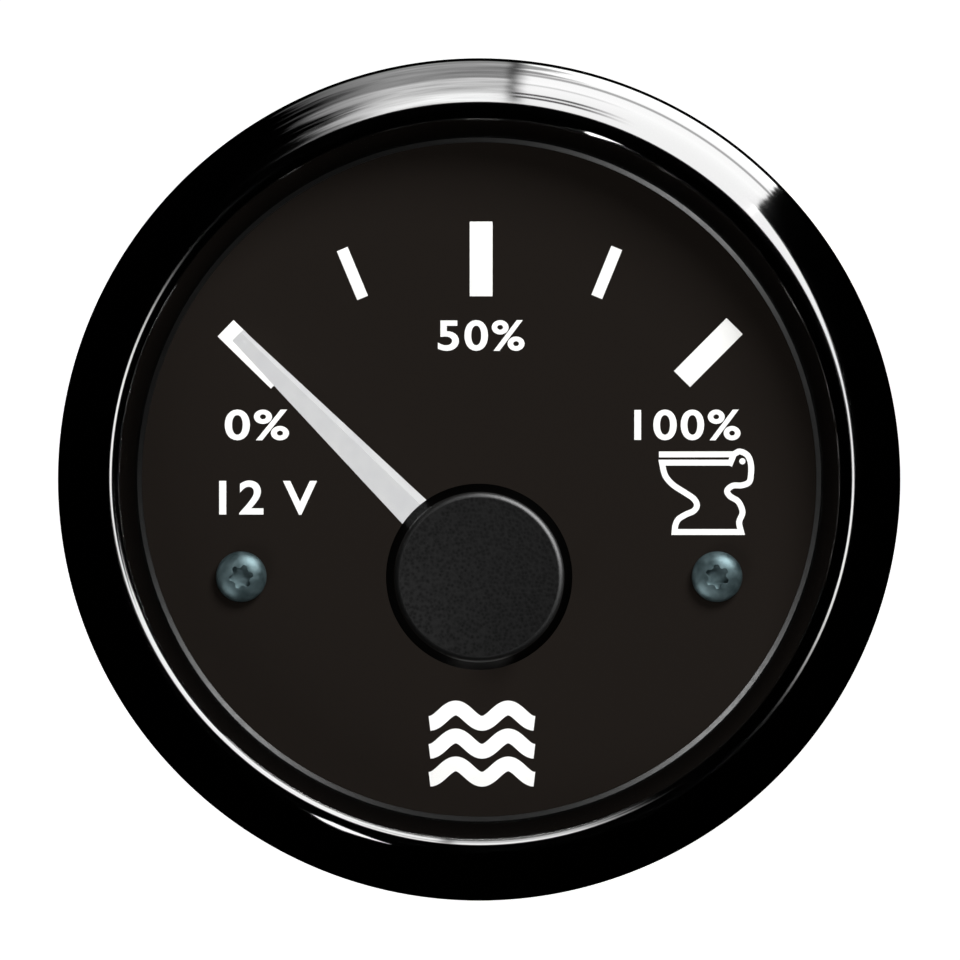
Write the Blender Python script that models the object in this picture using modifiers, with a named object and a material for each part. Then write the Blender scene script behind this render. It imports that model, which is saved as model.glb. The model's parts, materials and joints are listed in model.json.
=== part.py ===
"""Round panel gauge that shows the level in a holding tank, with a moving pointer.

The gauge is modelled in its own axis frame: +X is right and +Y is twelve o'clock as seen from the
front, +Z comes out of the dial towards the reader, and Z = 0 is the front of the panel it is fixed
in. One empty turns that frame upright, so the finished gauge looks along -Y with +Z up.
"""

import math

import bmesh
import bpy
from mathutils import Matrix

MM = 0.001

# Panel and housing
PANEL_HOLE_RADIUS = 26.0 * MM
HOLE_CLEARANCE = 0.25 * MM
CASE_FRONT_WALL = 0.85 * MM
CASE_FLOOR = 2.4 * MM
CASE_STEP = 0.45 * MM
CASE_STEP_DEPTH = 10.0 * MM
CASE_CHAMFER = 1.0 * MM
BOARD_LEDGE = 1.2 * MM
MOVEMENT_SEAT_HEIGHT = 6.8 * MM
MOVEMENT_SEAT_RADIUS = 5.6 * MM
FLANGE_OVERHANG = 3.25 * MM
GASKET_THICKNESS = 1.5 * MM
GASKET_WIDTH = 3.3 * MM

# Bezel, lens and the ring under the lens
BEZEL_SHEET = 0.6 * MM
BEZEL_FIT = 0.4 * MM
CROWN_WIDTH = 3.6 * MM
CROWN_HEIGHT = 4.2 * MM
ROLL_WIDTH = 1.0 * MM
ROLL_DEPTH = 1.6 * MM
LIP_CLEARANCE = 1.55 * MM
LENS_SETBACK = 0.7 * MM
LENS_THICKNESS = 1.6 * MM
LENS_CHAMFER = 0.3 * MM
LENS_SEAL_THICKNESS = 0.8 * MM
RING_FOOT_WALL = 0.4 * MM
RING_RIM_WIDTH = 1.0 * MM

# Dial, light guide and circuit board
DIAL_SINK = 1.0 * MM
DIAL_PLATE_THICKNESS = 0.5 * MM
LIGHT_GUIDE_THICKNESS = 1.8 * MM
LIGHT_GUIDE_SKIRT = 0.8 * MM
BOARD_THICKNESS = 1.6 * MM
LED_HEIGHT = 0.8 * MM
LED_LENGTH = 3.5 * MM
LED_WIDTH = 2.8 * MM
LED_TO_SKIRT = 2.6 * MM
LED_ANGLES_DEG = {
    "led_upper_right": 55.0,
    "led_upper_left": 125.0,
    "led_lower_left": 235.0,
    "led_lower_right": 305.0,
}
COMPONENT_RADIUS = 1.2 * MM
COMPONENT_WAIST_RADIUS = 1.0 * MM
COMPONENT_END_LENGTH = 1.6 * MM
COMPONENT_LENGTH = 6.5 * MM
COMPONENT_Y = 7.0 * MM
COMPONENT_TO_WALL = 2.3 * MM
LEAD_RADIUS = 0.3 * MM
LEAD_REACH = 1.3 * MM
LEAD_BEND = 0.5 * MM
LEAD_STANDOFF = 0.4 * MM

# Scale printed on the dial
PIVOT_Y = -6.95 * MM
SCALE_MARGIN = 5.85 * MM
MAJOR_TICK_LENGTH = 5.35 * MM
MAJOR_TICK_WIDTH = 1.64 * MM
MINOR_TICK_LENGTH = 3.8 * MM
MINOR_TICK_WIDTH = 0.84 * MM
TICK_RELIEF = 0.1 * MM
SWEEP_DEG = 90.0
TICK_COUNT = 5

# Dial screws and their bosses
BOSS_TO_CAN = 2.6 * MM
BOSS_WALL = 1.35 * MM
SCREW_HEAD_RADIUS = 1.82 * MM
SCREW_HEAD_HEIGHT = 1.1 * MM
SCREW_EDGE_HEIGHT = 0.35 * MM
SCREW_SHANK_RADIUS = 1.1 * MM
SCREW_LENGTH = 13.0 * MM
SCREW_POINT_LENGTH = 1.2 * MM
PILOT_SPARE = 1.0 * MM
SCREW_RECESS_RADIUS = 0.9 * MM
SCREW_RECESS_DEPTH = 0.6 * MM
SCREW_LOBE_DEPTH = 0.22 * MM
SCREW_LOBES = 6

# Pointer
POINTER_REST_DEG = 135.0
NEEDLE_SETBACK = 1.0 * MM
NEEDLE_TIP_WIDTH = 1.1 * MM
NEEDLE_ROOT_WIDTH = 2.9 * MM
NEEDLE_THICKNESS = 1.0 * MM
NEEDLE_EDGE = 0.35 * MM
NEEDLE_LIFT = 1.0 * MM
NEEDLE_RIDGE_SHARE = 0.22
HUB_RADIUS = 2.4 * MM
CAP_RADIUS = 6.65 * MM
CAP_TOP_RADIUS = 6.05 * MM
CAP_EDGE_RADIUS = 0.35 * MM
CAP_HEIGHT = 2.5 * MM
CAP_WALL = 0.8 * MM
CAP_TOP_THICKNESS = 1.0 * MM
CAP_LIFT = 0.4 * MM
CAP_COLLAR_WALL = 0.8 * MM
CAP_TO_LENS = 1.0 * MM
TAIL_WIDTH = 2.6 * MM
TAIL_THICKNESS = 0.5 * MM

# Movement: a magnet that turns inside two crossed pairs of coils
SPINDLE_RADIUS = 0.5 * MM
SPINDLE_TIP_LIFT = 0.3 * MM
PIVOT_HOLE_CLEARANCE = 0.5 * MM
MAGNET_RADIUS = 5.5 * MM
MAGNET_THICKNESS = 3.0 * MM
MAGNET_AIR_GAP = 0.8 * MM
BOBBIN_SIDE_WALL = 1.7 * MM
BOBBIN_END_WALL = 3.4 * MM
BEARING_RADIUS = 1.4 * MM
BEARING_FOOT = 0.8 * MM
COIL_THICKNESS = 1.6 * MM
COIL_WIDTH = 3.2 * MM
CAN_WALL = 0.6 * MM
CAN_CLEARANCE = 0.3 * MM

# Terminals on the back
TERMINAL_NAMES = ("terminal_sender", "terminal_ground", "terminal_supply", "terminal_lighting")
TERMINAL_PITCH = 7.0 * MM
TERMINAL_TO_STRAP = 2.85 * MM
BLADE_WIDTH = 6.3 * MM
BLADE_THICKNESS = 0.8 * MM
BLADE_LENGTH = 8.0 * MM
BLADE_CHAMFER = 1.0 * MM
BLADE_HOLE_RADIUS = 0.8 * MM
BLADE_HOLE_FROM_TIP = 3.2 * MM
PIN_WIDTH = 1.6 * MM
PAD_HEIGHT = 1.5 * MM
PAD_MARGIN = 2.0 * MM

# Studs, clamp and nuts
STUD_INSET = 10.2 * MM
STUD_RADIUS = 2.0 * MM
STUD_HEAD_FLATS = 7.0 * MM
STUD_HEAD_HEIGHT = 2.4 * MM
STUD_END_CHAMFER = 0.4 * MM
STUD_SPARE = 1.5 * MM
JAM_NUT_HEIGHT = 2.2 * MM
PANEL_THICKNESS = 6.0 * MM
THINNEST_PANEL = 1.0 * MM
THICKEST_PANEL = 12.0 * MM
STRAP_THICKNESS = 1.5 * MM
STRAP_WIDTH = 12.0 * MM
STRAP_INNER_BEND = 0.7 * MM
LEG_CLEARANCE = 0.6 * MM
FOOT_FLAT = 1.0 * MM
WASHER_RADIUS = 3.6 * MM
WASHER_THICKNESS = 0.9 * MM
WASHER_SPLIT = 0.7 * MM
NUT_RADIUS = 4.6 * MM
NUT_HEIGHT = 6.0 * MM
NUT_KNURLS = 20
KNURL_DEPTH = 0.3 * MM
NUT_CHAMFER = 0.5 * MM

# Clearances
SEAT_GAP = 0.2 * MM
THREAD_GAP = 0.15 * MM
PRESS_GAP = 0.06 * MM
RUNNING_GAP = 0.08 * MM
CUT_SPARE = 1.0 * MM

# Facets
LARGE_STEPS = 48
MEDIUM_STEPS = 28
SMALL_STEPS = 16
HOLE_STEPS = 8
BEND_STEPS = 3
MERGE_DISTANCE = 1e-6

# Radii that follow from the panel's hole
CASE_RADIUS = PANEL_HOLE_RADIUS - HOLE_CLEARANCE
CASE_REAR_RADIUS = CASE_RADIUS - CASE_STEP
CASE_FRONT_BORE = CASE_RADIUS - CASE_FRONT_WALL
CASE_REAR_BORE = CASE_FRONT_BORE - BOARD_LEDGE
FLANGE_RADIUS = CASE_RADIUS + FLANGE_OVERHANG
BEZEL_RADIUS = FLANGE_RADIUS + BEZEL_FIT + BEZEL_SHEET
APEX_RADIUS = BEZEL_RADIUS - CROWN_WIDTH
SIGHT_EDGE_RADIUS = APEX_RADIUS - ROLL_WIDTH
LENS_RADIUS = FLANGE_RADIUS - LENS_SETBACK
PLATE_RADIUS = CASE_FRONT_BORE - SEAT_GAP
DIAL_SIGHT_RADIUS = PLATE_RADIUS - RING_FOOT_WALL
SKIRT_INNER_RADIUS = PLATE_RADIUS - LIGHT_GUIDE_SKIRT
LED_CIRCLE_RADIUS = SKIRT_INNER_RADIUS - LED_TO_SKIRT - math.hypot(LED_LENGTH, LED_WIDTH) / 2
SCALE_RADIUS = DIAL_SIGHT_RADIUS - PIVOT_Y - SCALE_MARGIN
NEEDLE_REACH = SCALE_RADIUS - NEEDLE_SETBACK

# Heights in front of the dial
LIP_REAR_Z = GASKET_THICKNESS + SEAT_GAP
LIP_FRONT_Z = LIP_REAR_Z + BEZEL_SHEET
FLANGE_REAR_Z = LIP_FRONT_Z + SEAT_GAP
DIAL_FACE_Z = FLANGE_REAR_Z - DIAL_SINK
NEEDLE_REAR_Z = DIAL_FACE_Z + NEEDLE_LIFT
NEEDLE_FRONT_Z = NEEDLE_REAR_Z + NEEDLE_THICKNESS
CAP_REAR_Z = NEEDLE_FRONT_Z + CAP_LIFT
CAP_FRONT_Z = CAP_REAR_Z + CAP_HEIGHT
CAP_CAVITY_Z = CAP_FRONT_Z - CAP_TOP_THICKNESS
HUB_FRONT_Z = CAP_CAVITY_Z - SEAT_GAP
SPINDLE_FRONT_Z = HUB_FRONT_Z - SEAT_GAP
LENS_REAR_Z = CAP_FRONT_Z + CAP_TO_LENS
LENS_FRONT_Z = LENS_REAR_Z + LENS_THICKNESS
SEAL_REAR_Z = LENS_REAR_Z - SEAT_GAP - LENS_SEAL_THICKNESS
FLANGE_FRONT_Z = SEAL_REAR_Z - SEAT_GAP
ROLL_END_Z = LENS_FRONT_Z + SEAT_GAP
APEX_Z = ROLL_END_Z + ROLL_DEPTH
CROWN_BASE_Z = APEX_Z - CROWN_HEIGHT

# Heights behind the dial
DIAL_REAR_Z = DIAL_FACE_Z - DIAL_PLATE_THICKNESS
GUIDE_FRONT_Z = DIAL_REAR_Z - SEAT_GAP
GUIDE_REAR_Z = GUIDE_FRONT_Z - LIGHT_GUIDE_THICKNESS
BOARD_FRONT_Z = GUIDE_REAR_Z - LED_HEIGHT - 2 * SEAT_GAP
BOARD_REAR_Z = BOARD_FRONT_Z - BOARD_THICKNESS
LEDGE_Z = BOARD_REAR_Z - SEAT_GAP
OUTER_COIL_FRONT_Z = LEDGE_Z - SEAT_GAP
INNER_COIL_FRONT_Z = OUTER_COIL_FRONT_Z - COIL_THICKNESS - SEAT_GAP
BOBBIN_FRONT_Z = INNER_COIL_FRONT_Z - COIL_THICKNESS - SEAT_GAP
CAVITY_FRONT_Z = BOBBIN_FRONT_Z - BOBBIN_END_WALL
MAGNET_FRONT_Z = CAVITY_FRONT_Z - MAGNET_AIR_GAP
MAGNET_REAR_Z = MAGNET_FRONT_Z - MAGNET_THICKNESS
CAVITY_REAR_Z = MAGNET_REAR_Z - MAGNET_AIR_GAP
BOBBIN_SPLIT_Z = (CAVITY_FRONT_Z + CAVITY_REAR_Z) / 2
BOBBIN_REAR_Z = CAVITY_REAR_Z - BOBBIN_END_WALL
SPINDLE_REAR_Z = BOBBIN_REAR_Z + SPINDLE_TIP_LIFT
INNER_COIL_REAR_Z = BOBBIN_REAR_Z - SEAT_GAP - COIL_THICKNESS
OUTER_COIL_REAR_Z = INNER_COIL_REAR_Z - SEAT_GAP - COIL_THICKNESS
CAN_FLOOR_Z = OUTER_COIL_REAR_Z - SEAT_GAP
CAN_REAR_Z = CAN_FLOOR_Z - CAN_WALL
CASE_FLOOR_Z = CAN_REAR_Z - SEAT_GAP - MOVEMENT_SEAT_HEIGHT
CASE_REAR_Z = CASE_FLOOR_Z - CASE_FLOOR
PAD_REAR_Z = CASE_REAR_Z - PAD_HEIGHT

# Radii of the movement, and what stands beside it
CAVITY_RADIUS = MAGNET_RADIUS + MAGNET_AIR_GAP
BOBBIN_RADIUS = CAVITY_RADIUS + BOBBIN_SIDE_WALL
COIL_BORE = BOBBIN_RADIUS + SEAT_GAP
COIL_CENTRE_GAP = BEARING_RADIUS + SEAT_GAP
COIL_OFFSET = COIL_CENTRE_GAP + COIL_WIDTH / 2
CAN_BORE = math.hypot(COIL_BORE + COIL_THICKNESS, COIL_CENTRE_GAP + COIL_WIDTH) + CAN_CLEARANCE
CAN_RADIUS = CAN_BORE + CAN_WALL
BOSS_RADIUS = SCREW_SHANK_RADIUS + THREAD_GAP + BOSS_WALL
SCREW_X = CAN_RADIUS + BOSS_TO_CAN + BOSS_RADIUS
SCREW_Y = PIVOT_Y
SCREW_SEAT_Z = DIAL_FACE_Z + SEAT_GAP
COLLAR_INNER_RADIUS = HUB_RADIUS + SEAT_GAP
COLLAR_OUTER_RADIUS = COLLAR_INNER_RADIUS + CAP_COLLAR_WALL
CAP_BORE = CAP_TOP_RADIUS - CAP_WALL
WEIGHT_RADIUS = (CAP_BORE - COLLAR_OUTER_RADIUS) / 2 - SEAT_GAP
WEIGHT_REACH = (CAP_BORE + COLLAR_OUTER_RADIUS) / 2
COMPONENT_HALF = COMPONENT_LENGTH / 2
LEAD_Y = COMPONENT_HALF + LEAD_REACH
COMPONENT_X = (
    math.sqrt(CASE_REAR_BORE**2 - (COMPONENT_Y + LEAD_Y + LEAD_RADIUS) ** 2)
    - COMPONENT_RADIUS
    - COMPONENT_TO_WALL
)

# Studs and clamp, from the back of the case
STUD_X = CASE_REAR_BORE - STUD_INSET
TERMINAL_Y = STRAP_WIDTH / 2 + TERMINAL_TO_STRAP + BLADE_WIDTH / 2
JAM_NUT_FRONT_Z = CASE_REAR_Z - SEAT_GAP
JAM_NUT_REAR_Z = JAM_NUT_FRONT_Z - JAM_NUT_HEIGHT
STRAP_FRONT_Z = JAM_NUT_REAR_Z - SEAT_GAP - (PANEL_THICKNESS - THINNEST_PANEL)
STRAP_REAR_Z = STRAP_FRONT_Z - STRAP_THICKNESS
WASHER_FRONT_Z = STRAP_REAR_Z - SEAT_GAP
WASHER_REAR_Z = WASHER_FRONT_Z - WASHER_THICKNESS
NUT_FRONT_Z = WASHER_REAR_Z - SEAT_GAP
NUT_REAR_Z = NUT_FRONT_Z - NUT_HEIGHT
STUD_END_Z = NUT_REAR_Z - (THICKEST_PANEL - PANEL_THICKNESS) - STUD_SPARE
LEG_INNER_X = PANEL_HOLE_RADIUS + LEG_CLEARANCE

MATERIALS = {
    # name: (colour, roughness, metallic)
    "black_enamel": ((0.004, 0.004, 0.004), 0.08, 0.0),
    "clear_glass": ((0.90, 0.95, 0.95), 0.02, 0.0),
    "black_rubber": ((0.012, 0.012, 0.012), 0.75, 0.0),
    "case_plastic": ((0.016, 0.016, 0.017), 0.5, 0.0),
    "ring_plastic": ((0.004, 0.004, 0.004), 0.2, 0.0),
    "dial_plastic": ((0.0130, 0.0103, 0.0086), 0.6, 0.0),
    "clear_acrylic": ((0.85, 0.87, 0.88), 0.1, 0.0),
    "board_laminate": ((0.02, 0.12, 0.05), 0.5, 0.0),
    "led_white": ((0.85, 0.85, 0.75), 0.4, 0.0),
    "resistor_body": ((0.45, 0.36, 0.22), 0.5, 0.0),
    "diode_body": ((0.02, 0.02, 0.02), 0.4, 0.0),
    "screw_steel": ((0.09, 0.12, 0.12), 0.35, 0.9),
    "pointer_silver": ((0.60, 0.60, 0.60), 0.4, 0.0),
    "cap_plastic": ((0.018, 0.018, 0.018), 0.7, 0.0),
    "bright_steel": ((0.58, 0.58, 0.60), 0.3, 1.0),
    "brass": ((0.68, 0.48, 0.20), 0.35, 1.0),
    "ferrite": ((0.05, 0.05, 0.055), 0.6, 0.2),
    "bobbin_nylon": ((0.75, 0.74, 0.68), 0.5, 0.0),
    "copper_wire": ((0.55, 0.20, 0.07), 0.35, 0.9),
    "zinc_plate": ((0.55, 0.56, 0.58), 0.35, 1.0),
}


def clear_scene():
    for obj in list(bpy.data.objects):
        bpy.data.objects.remove(obj)


def add_collection(name):
    collection = bpy.data.collections.new(name)
    bpy.context.scene.collection.children.link(collection)
    return collection


def add_upright_axis(collection):
    """The empty that stands the gauge upright: its +Z points along the world's -Y."""
    axis = bpy.data.objects.new("gauge_axis", None)
    axis.rotation_euler = (math.radians(90), 0, 0)
    collection.objects.link(axis)
    return axis


def get_material(name):
    if name in bpy.data.materials:
        return bpy.data.materials[name]
    colour, roughness, metallic = MATERIALS[name]
    material = bpy.data.materials.new(name)
    material.use_nodes = True
    shader = material.node_tree.nodes["Principled BSDF"]
    shader.inputs["Base Color"].default_value = (*colour, 1.0)
    shader.inputs["Roughness"].default_value = roughness
    shader.inputs["Metallic"].default_value = metallic
    return material


def place(obj, collection, x, y, turn_deg):
    """A mesh modelled about its own axis goes to (x, y) on the gauge's face."""
    obj.location = (x, y, 0)
    obj.rotation_euler = (0, 0, math.radians(turn_deg))
    obj.parent = AXIS
    collection.objects.link(obj)


def add_part(name, mesh, material, x=0.0, y=0.0, turn_deg=0.0):
    """A named piece of the gauge, shaded smooth except at its edges."""
    obj = bpy.data.objects.new(name, mesh)
    place(obj, PARTS, x, y, turn_deg)
    mesh.materials.append(get_material(material))
    mesh.shade_smooth()
    mesh.set_sharp_from_angle(angle=math.radians(35))
    return obj


def add_helper(name, mesh, x=0.0, y=0.0, turn_deg=0.0):
    """A shape that only cuts or joins another piece."""
    obj = bpy.data.objects.new(name, mesh)
    place(obj, CUTTERS, x, y, turn_deg)
    obj.hide_render = True
    obj.display_type = "WIRE"
    return obj


def combine(obj, operation, helper):
    modifier = obj.modifiers.new(helper.name, "BOOLEAN")
    modifier.operation = operation
    modifier.object = helper


def cut(obj, helper):
    combine(obj, "DIFFERENCE", helper)


def join(obj, helper):
    combine(obj, "UNION", helper)


def mesh_from(bm, name):
    mesh = bpy.data.meshes.new(name)
    bm.to_mesh(mesh)
    bm.free()
    return mesh


def cylinder(name, radius, low_z, high_z, steps=SMALL_STEPS):
    bm = bmesh.new()
    bmesh.ops.create_cone(
        bm, cap_ends=True, segments=steps, radius1=radius, radius2=radius, depth=high_z - low_z
    )
    bmesh.ops.translate(bm, verts=bm.verts, vec=(0, 0, (low_z + high_z) / 2))
    return mesh_from(bm, name)


def hexagon(name, across_flats, low_z, high_z):
    return cylinder(name, across_flats / math.sqrt(3), low_z, high_z, steps=6)


def block(name, size_x, size_y, low_z, high_z, x=0.0, y=0.0):
    bm = bmesh.new()
    bmesh.ops.create_cube(bm, size=1.0)
    bmesh.ops.scale(bm, verts=bm.verts, vec=(size_x, size_y, high_z - low_z))
    bmesh.ops.translate(bm, verts=bm.verts, vec=(x, y, (low_z + high_z) / 2))
    return mesh_from(bm, name)


def profile_mesh(name, profile, closed):
    """A profile of (radius, z) points that runs down its outer side.

    An open one starts and ends on the axis.
    """
    bm = bmesh.new()
    points = [bm.verts.new((radius, 0, z)) for radius, z in profile]
    for first, second in zip(points, points[1:]):
        bm.edges.new((first, second))
    if closed:
        bm.edges.new((points[-1], points[0]))
    return mesh_from(bm, name)


def turn_profile(obj, steps):
    screw = obj.modifiers.new("turn", "SCREW")
    screw.axis = "Z"
    screw.angle = math.radians(360)
    screw.steps = steps
    screw.render_steps = steps
    screw.use_merge_vertices = True
    screw.merge_threshold = MERGE_DISTANCE
    screw.use_smooth_shade = True


def turned_part(name, profile, material, steps, x=0.0, y=0.0, closed=True):
    obj = add_part(name, profile_mesh(name, profile, closed), material, x, y)
    turn_profile(obj, steps)
    return obj


def ring_section(inner, outer, low_z, high_z):
    return [(inner, high_z), (outer, high_z), (outer, low_z), (inner, low_z)]


def disc_section(radius, low_z, high_z):
    return [(0, high_z), (radius, high_z), (radius, low_z), (0, low_z)]


def arc(centre_x, centre_y, radius_x, radius_y, start_deg, end_deg, pieces):
    """Points on an ellipse, with 0 degrees along the first axis and 90 along the second."""
    points = []
    for index in range(pieces + 1):
        angle = math.radians(start_deg + (end_deg - start_deg) * index / pieces)
        points.append((centre_x + radius_x * math.cos(angle), centre_y + radius_y * math.sin(angle)))
    return points


def welded_mesh(curve):
    """A curve's filled surface as one closed mesh."""
    holder = bpy.data.objects.new(curve.name, curve)
    CUTTERS.objects.link(holder)
    evaluated = holder.evaluated_get(bpy.context.evaluated_depsgraph_get())
    mesh = bpy.data.meshes.new_from_object(evaluated)
    bpy.data.objects.remove(holder)
    bm = bmesh.new()
    bm.from_mesh(mesh)
    bpy.data.meshes.remove(mesh)
    bmesh.ops.remove_doubles(bm, verts=bm.verts, dist=MERGE_DISTANCE)
    bmesh.ops.recalc_face_normals(bm, faces=bm.faces)
    mesh = mesh_from(bm, curve.name)
    bpy.data.curves.remove(curve)
    return mesh


def add_points(curve, points, cyclic):
    spline = curve.splines.new("POLY")
    spline.points.add(len(points) - 1)
    for spline_point, point in zip(spline.points, points):
        spline_point.co = (*point, 1)
    spline.use_cyclic_u = cyclic


def flat_mesh(name, outline, low_z, high_z):
    """A flat closed outline of (x, y) points, thickened from low_z to high_z."""
    curve = bpy.data.curves.new(name, "CURVE")
    curve.dimensions = "2D"
    curve.fill_mode = "BOTH"
    curve.extrude = (high_z - low_z) / 2
    add_points(curve, [(x, y, 0) for x, y in outline], cyclic=True)
    mesh = welded_mesh(curve)
    mesh.transform(Matrix.Translation((0, 0, (low_z + high_z) / 2)))
    return mesh


def wire_mesh(name, points, radius):
    curve = bpy.data.curves.new(name, "CURVE")
    curve.dimensions = "3D"
    curve.bevel_depth = radius
    curve.bevel_resolution = 1
    curve.use_fill_caps = True
    add_points(curve, points, cyclic=False)
    return welded_mesh(curve)


def lobed_outline(radius, depth, lobes, points_per_lobe):
    """A round outline whose radius waves in by depth once for each lobe."""
    outline = []
    count = lobes * points_per_lobe
    for index in range(count):
        angle = 2 * math.pi * index / count
        reach = radius - depth * (1 - math.cos(lobes * angle)) / 2
        outline.append((reach * math.cos(angle), reach * math.sin(angle)))
    return outline


def ring_radius_at(z):
    """The inside of the dial ring: a cone that opens from the dial's edge to the bezel's roll."""
    share = (z - DIAL_FACE_Z) / (LENS_REAR_Z - DIAL_FACE_Z)
    return DIAL_SIGHT_RADIUS + share * (SIGHT_EDGE_RADIUS - DIAL_SIGHT_RADIUS)


def ring_neck_radius():
    """The outside of the dial ring where it passes the front of the case's flange."""
    return ring_radius_at(FLANGE_FRONT_Z) + RING_FOOT_WALL


def ring_rim_radius():
    return ring_neck_radius() + RING_RIM_WIDTH


def terminal_places():
    first = -TERMINAL_PITCH * (len(TERMINAL_NAMES) - 1) / 2
    return [first + index * TERMINAL_PITCH for index in range(len(TERMINAL_NAMES))]


def add_bezel():
    """A spun sheet-metal ring: a rounded crown, a tight roll onto the lens, and a lip at the back."""
    side_inner = BEZEL_RADIUS - BEZEL_SHEET
    lip_inner = CASE_RADIUS + LIP_CLEARANCE
    profile = arc(APEX_RADIUS, ROLL_END_Z, ROLL_WIDTH, ROLL_DEPTH, 180, 90, 3)
    profile += arc(APEX_RADIUS, CROWN_BASE_Z, CROWN_WIDTH, CROWN_HEIGHT, 90, 0, 7)[1:]
    profile += arc(side_inner, LIP_FRONT_Z, BEZEL_SHEET, BEZEL_SHEET, 0, -90, 2)
    profile += [(lip_inner, LIP_REAR_Z), (lip_inner, LIP_FRONT_Z), (side_inner, LIP_FRONT_Z)]
    profile += arc(
        APEX_RADIUS, CROWN_BASE_Z, CROWN_WIDTH - BEZEL_SHEET, CROWN_HEIGHT - BEZEL_SHEET, 0, 90, 5
    )
    profile += arc(
        APEX_RADIUS, ROLL_END_Z, ROLL_WIDTH - BEZEL_SHEET, ROLL_DEPTH - BEZEL_SHEET, 90, 180, 1
    )[1:]
    turned_part("bezel", profile, "black_enamel", LARGE_STEPS)


def add_lens():
    profile = [
        (0, LENS_FRONT_Z),
        (LENS_RADIUS - LENS_CHAMFER, LENS_FRONT_Z),
        (LENS_RADIUS, LENS_FRONT_Z - LENS_CHAMFER),
        (LENS_RADIUS, LENS_REAR_Z),
        (0, LENS_REAR_Z),
    ]
    turned_part("lens", profile, "clear_glass", LARGE_STEPS, closed=False)


def add_seals():
    """A square-cut ring under the lens, and a flat gasket between the bezel and the panel."""
    seal_inner = ring_rim_radius() + SEAT_GAP
    seal = ring_section(seal_inner, LENS_RADIUS, SEAL_REAR_Z, SEAL_REAR_Z + LENS_SEAL_THICKNESS)
    turned_part("lens_seal", seal, "black_rubber", LARGE_STEPS)
    gasket = ring_section(PANEL_HOLE_RADIUS, PANEL_HOLE_RADIUS + GASKET_WIDTH, 0, GASKET_THICKNESS)
    turned_part("panel_gasket", gasket, "black_rubber", LARGE_STEPS)


def add_dial_ring():
    """The glossy cone between dial and lens, with a rim that stands on the case's flange."""
    foot_z = DIAL_FACE_Z + SEAT_GAP
    rim_front_z = LENS_REAR_Z - SEAT_GAP
    rim_rear_z = FLANGE_FRONT_Z + SEAT_GAP
    profile = [
        (ring_radius_at(rim_front_z), rim_front_z),
        (ring_rim_radius(), rim_front_z),
        (ring_rim_radius(), rim_rear_z),
        (ring_neck_radius(), rim_rear_z),
        (ring_neck_radius(), FLANGE_FRONT_Z),
        (PLATE_RADIUS, foot_z),
        (ring_radius_at(foot_z), foot_z),
    ]
    turned_part("dial_ring", profile, "ring_plastic", LARGE_STEPS)


def add_case():
    """The moulded housing: a pot with a ledge for the board and a flange at its mouth."""
    profile = [
        (0, CASE_FLOOR_Z),
        (CASE_REAR_BORE, CASE_FLOOR_Z),
        (CASE_REAR_BORE, LEDGE_Z),
        (CASE_FRONT_BORE, LEDGE_Z),
        (CASE_FRONT_BORE, DIAL_FACE_Z + SEAT_GAP / 2),
        (ring_neck_radius() + SEAT_GAP, FLANGE_FRONT_Z),
        (FLANGE_RADIUS, FLANGE_FRONT_Z),
        (FLANGE_RADIUS, FLANGE_REAR_Z),
        (CASE_RADIUS, FLANGE_REAR_Z),
        (CASE_RADIUS, -CASE_STEP_DEPTH),
        (CASE_REAR_RADIUS, -CASE_STEP_DEPTH - CASE_STEP),
        (CASE_REAR_RADIUS, CASE_REAR_Z + CASE_CHAMFER),
        (CASE_REAR_RADIUS - CASE_CHAMFER, CASE_REAR_Z),
        (0, CASE_REAR_Z),
    ]
    case = turned_part("case", profile, "case_plastic", LARGE_STEPS, closed=False)
    add_case_bosses(case)
    add_terminal_pad(case)
    cut_stud_holes(case)


def add_case_bosses(case):
    """A seat under the movement, and a boss on each side for a dial screw."""
    inside_floor_z = CASE_FLOOR_Z - CASE_FLOOR / 2
    seat = cylinder("movement_seat", MOVEMENT_SEAT_RADIUS, inside_floor_z, CAN_REAR_Z - SEAT_GAP)
    join(case, add_helper("movement_seat", seat, y=PIVOT_Y))
    pilot_foot_z = SCREW_SEAT_Z - SCREW_LENGTH - PILOT_SPARE
    for side in (-1, 1):
        boss = cylinder("screw_boss", BOSS_RADIUS, inside_floor_z, LEDGE_Z)
        join(case, add_helper("screw_boss", boss, side * SCREW_X, SCREW_Y))
        pilot = cylinder(
            "screw_pilot", SCREW_SHANK_RADIUS + THREAD_GAP, pilot_foot_z, LEDGE_Z + CUT_SPARE, HOLE_STEPS
        )
        cut(case, add_helper("screw_pilot", pilot, side * SCREW_X, SCREW_Y))


def add_terminal_pad(case):
    """A raised pad behind the case, with a slot for each terminal's pin."""
    width = TERMINAL_PITCH * (len(TERMINAL_NAMES) - 1) + BLADE_THICKNESS + 2 * PAD_MARGIN
    height = BLADE_WIDTH + 2 * PAD_MARGIN
    pad = block("terminal_pad", width, height, PAD_REAR_Z, CASE_REAR_Z + CASE_FLOOR / 2)
    join(case, add_helper("terminal_pad", pad, y=TERMINAL_Y))
    cut_pin_slots(case, PAD_REAR_Z, CASE_FLOOR_Z)


def cut_pin_slots(obj, low_z, high_z):
    for x in terminal_places():
        slot = block(
            "pin_slot",
            BLADE_THICKNESS + 2 * THREAD_GAP,
            PIN_WIDTH + 2 * THREAD_GAP,
            low_z - CUT_SPARE,
            high_z + CUT_SPARE,
        )
        cut(obj, add_helper("pin_slot", slot, x, TERMINAL_Y))


def cut_stud_holes(case):
    for side in (-1, 1):
        cut_stud_bore(case, side, CASE_REAR_Z, CASE_FLOOR_Z)


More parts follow.
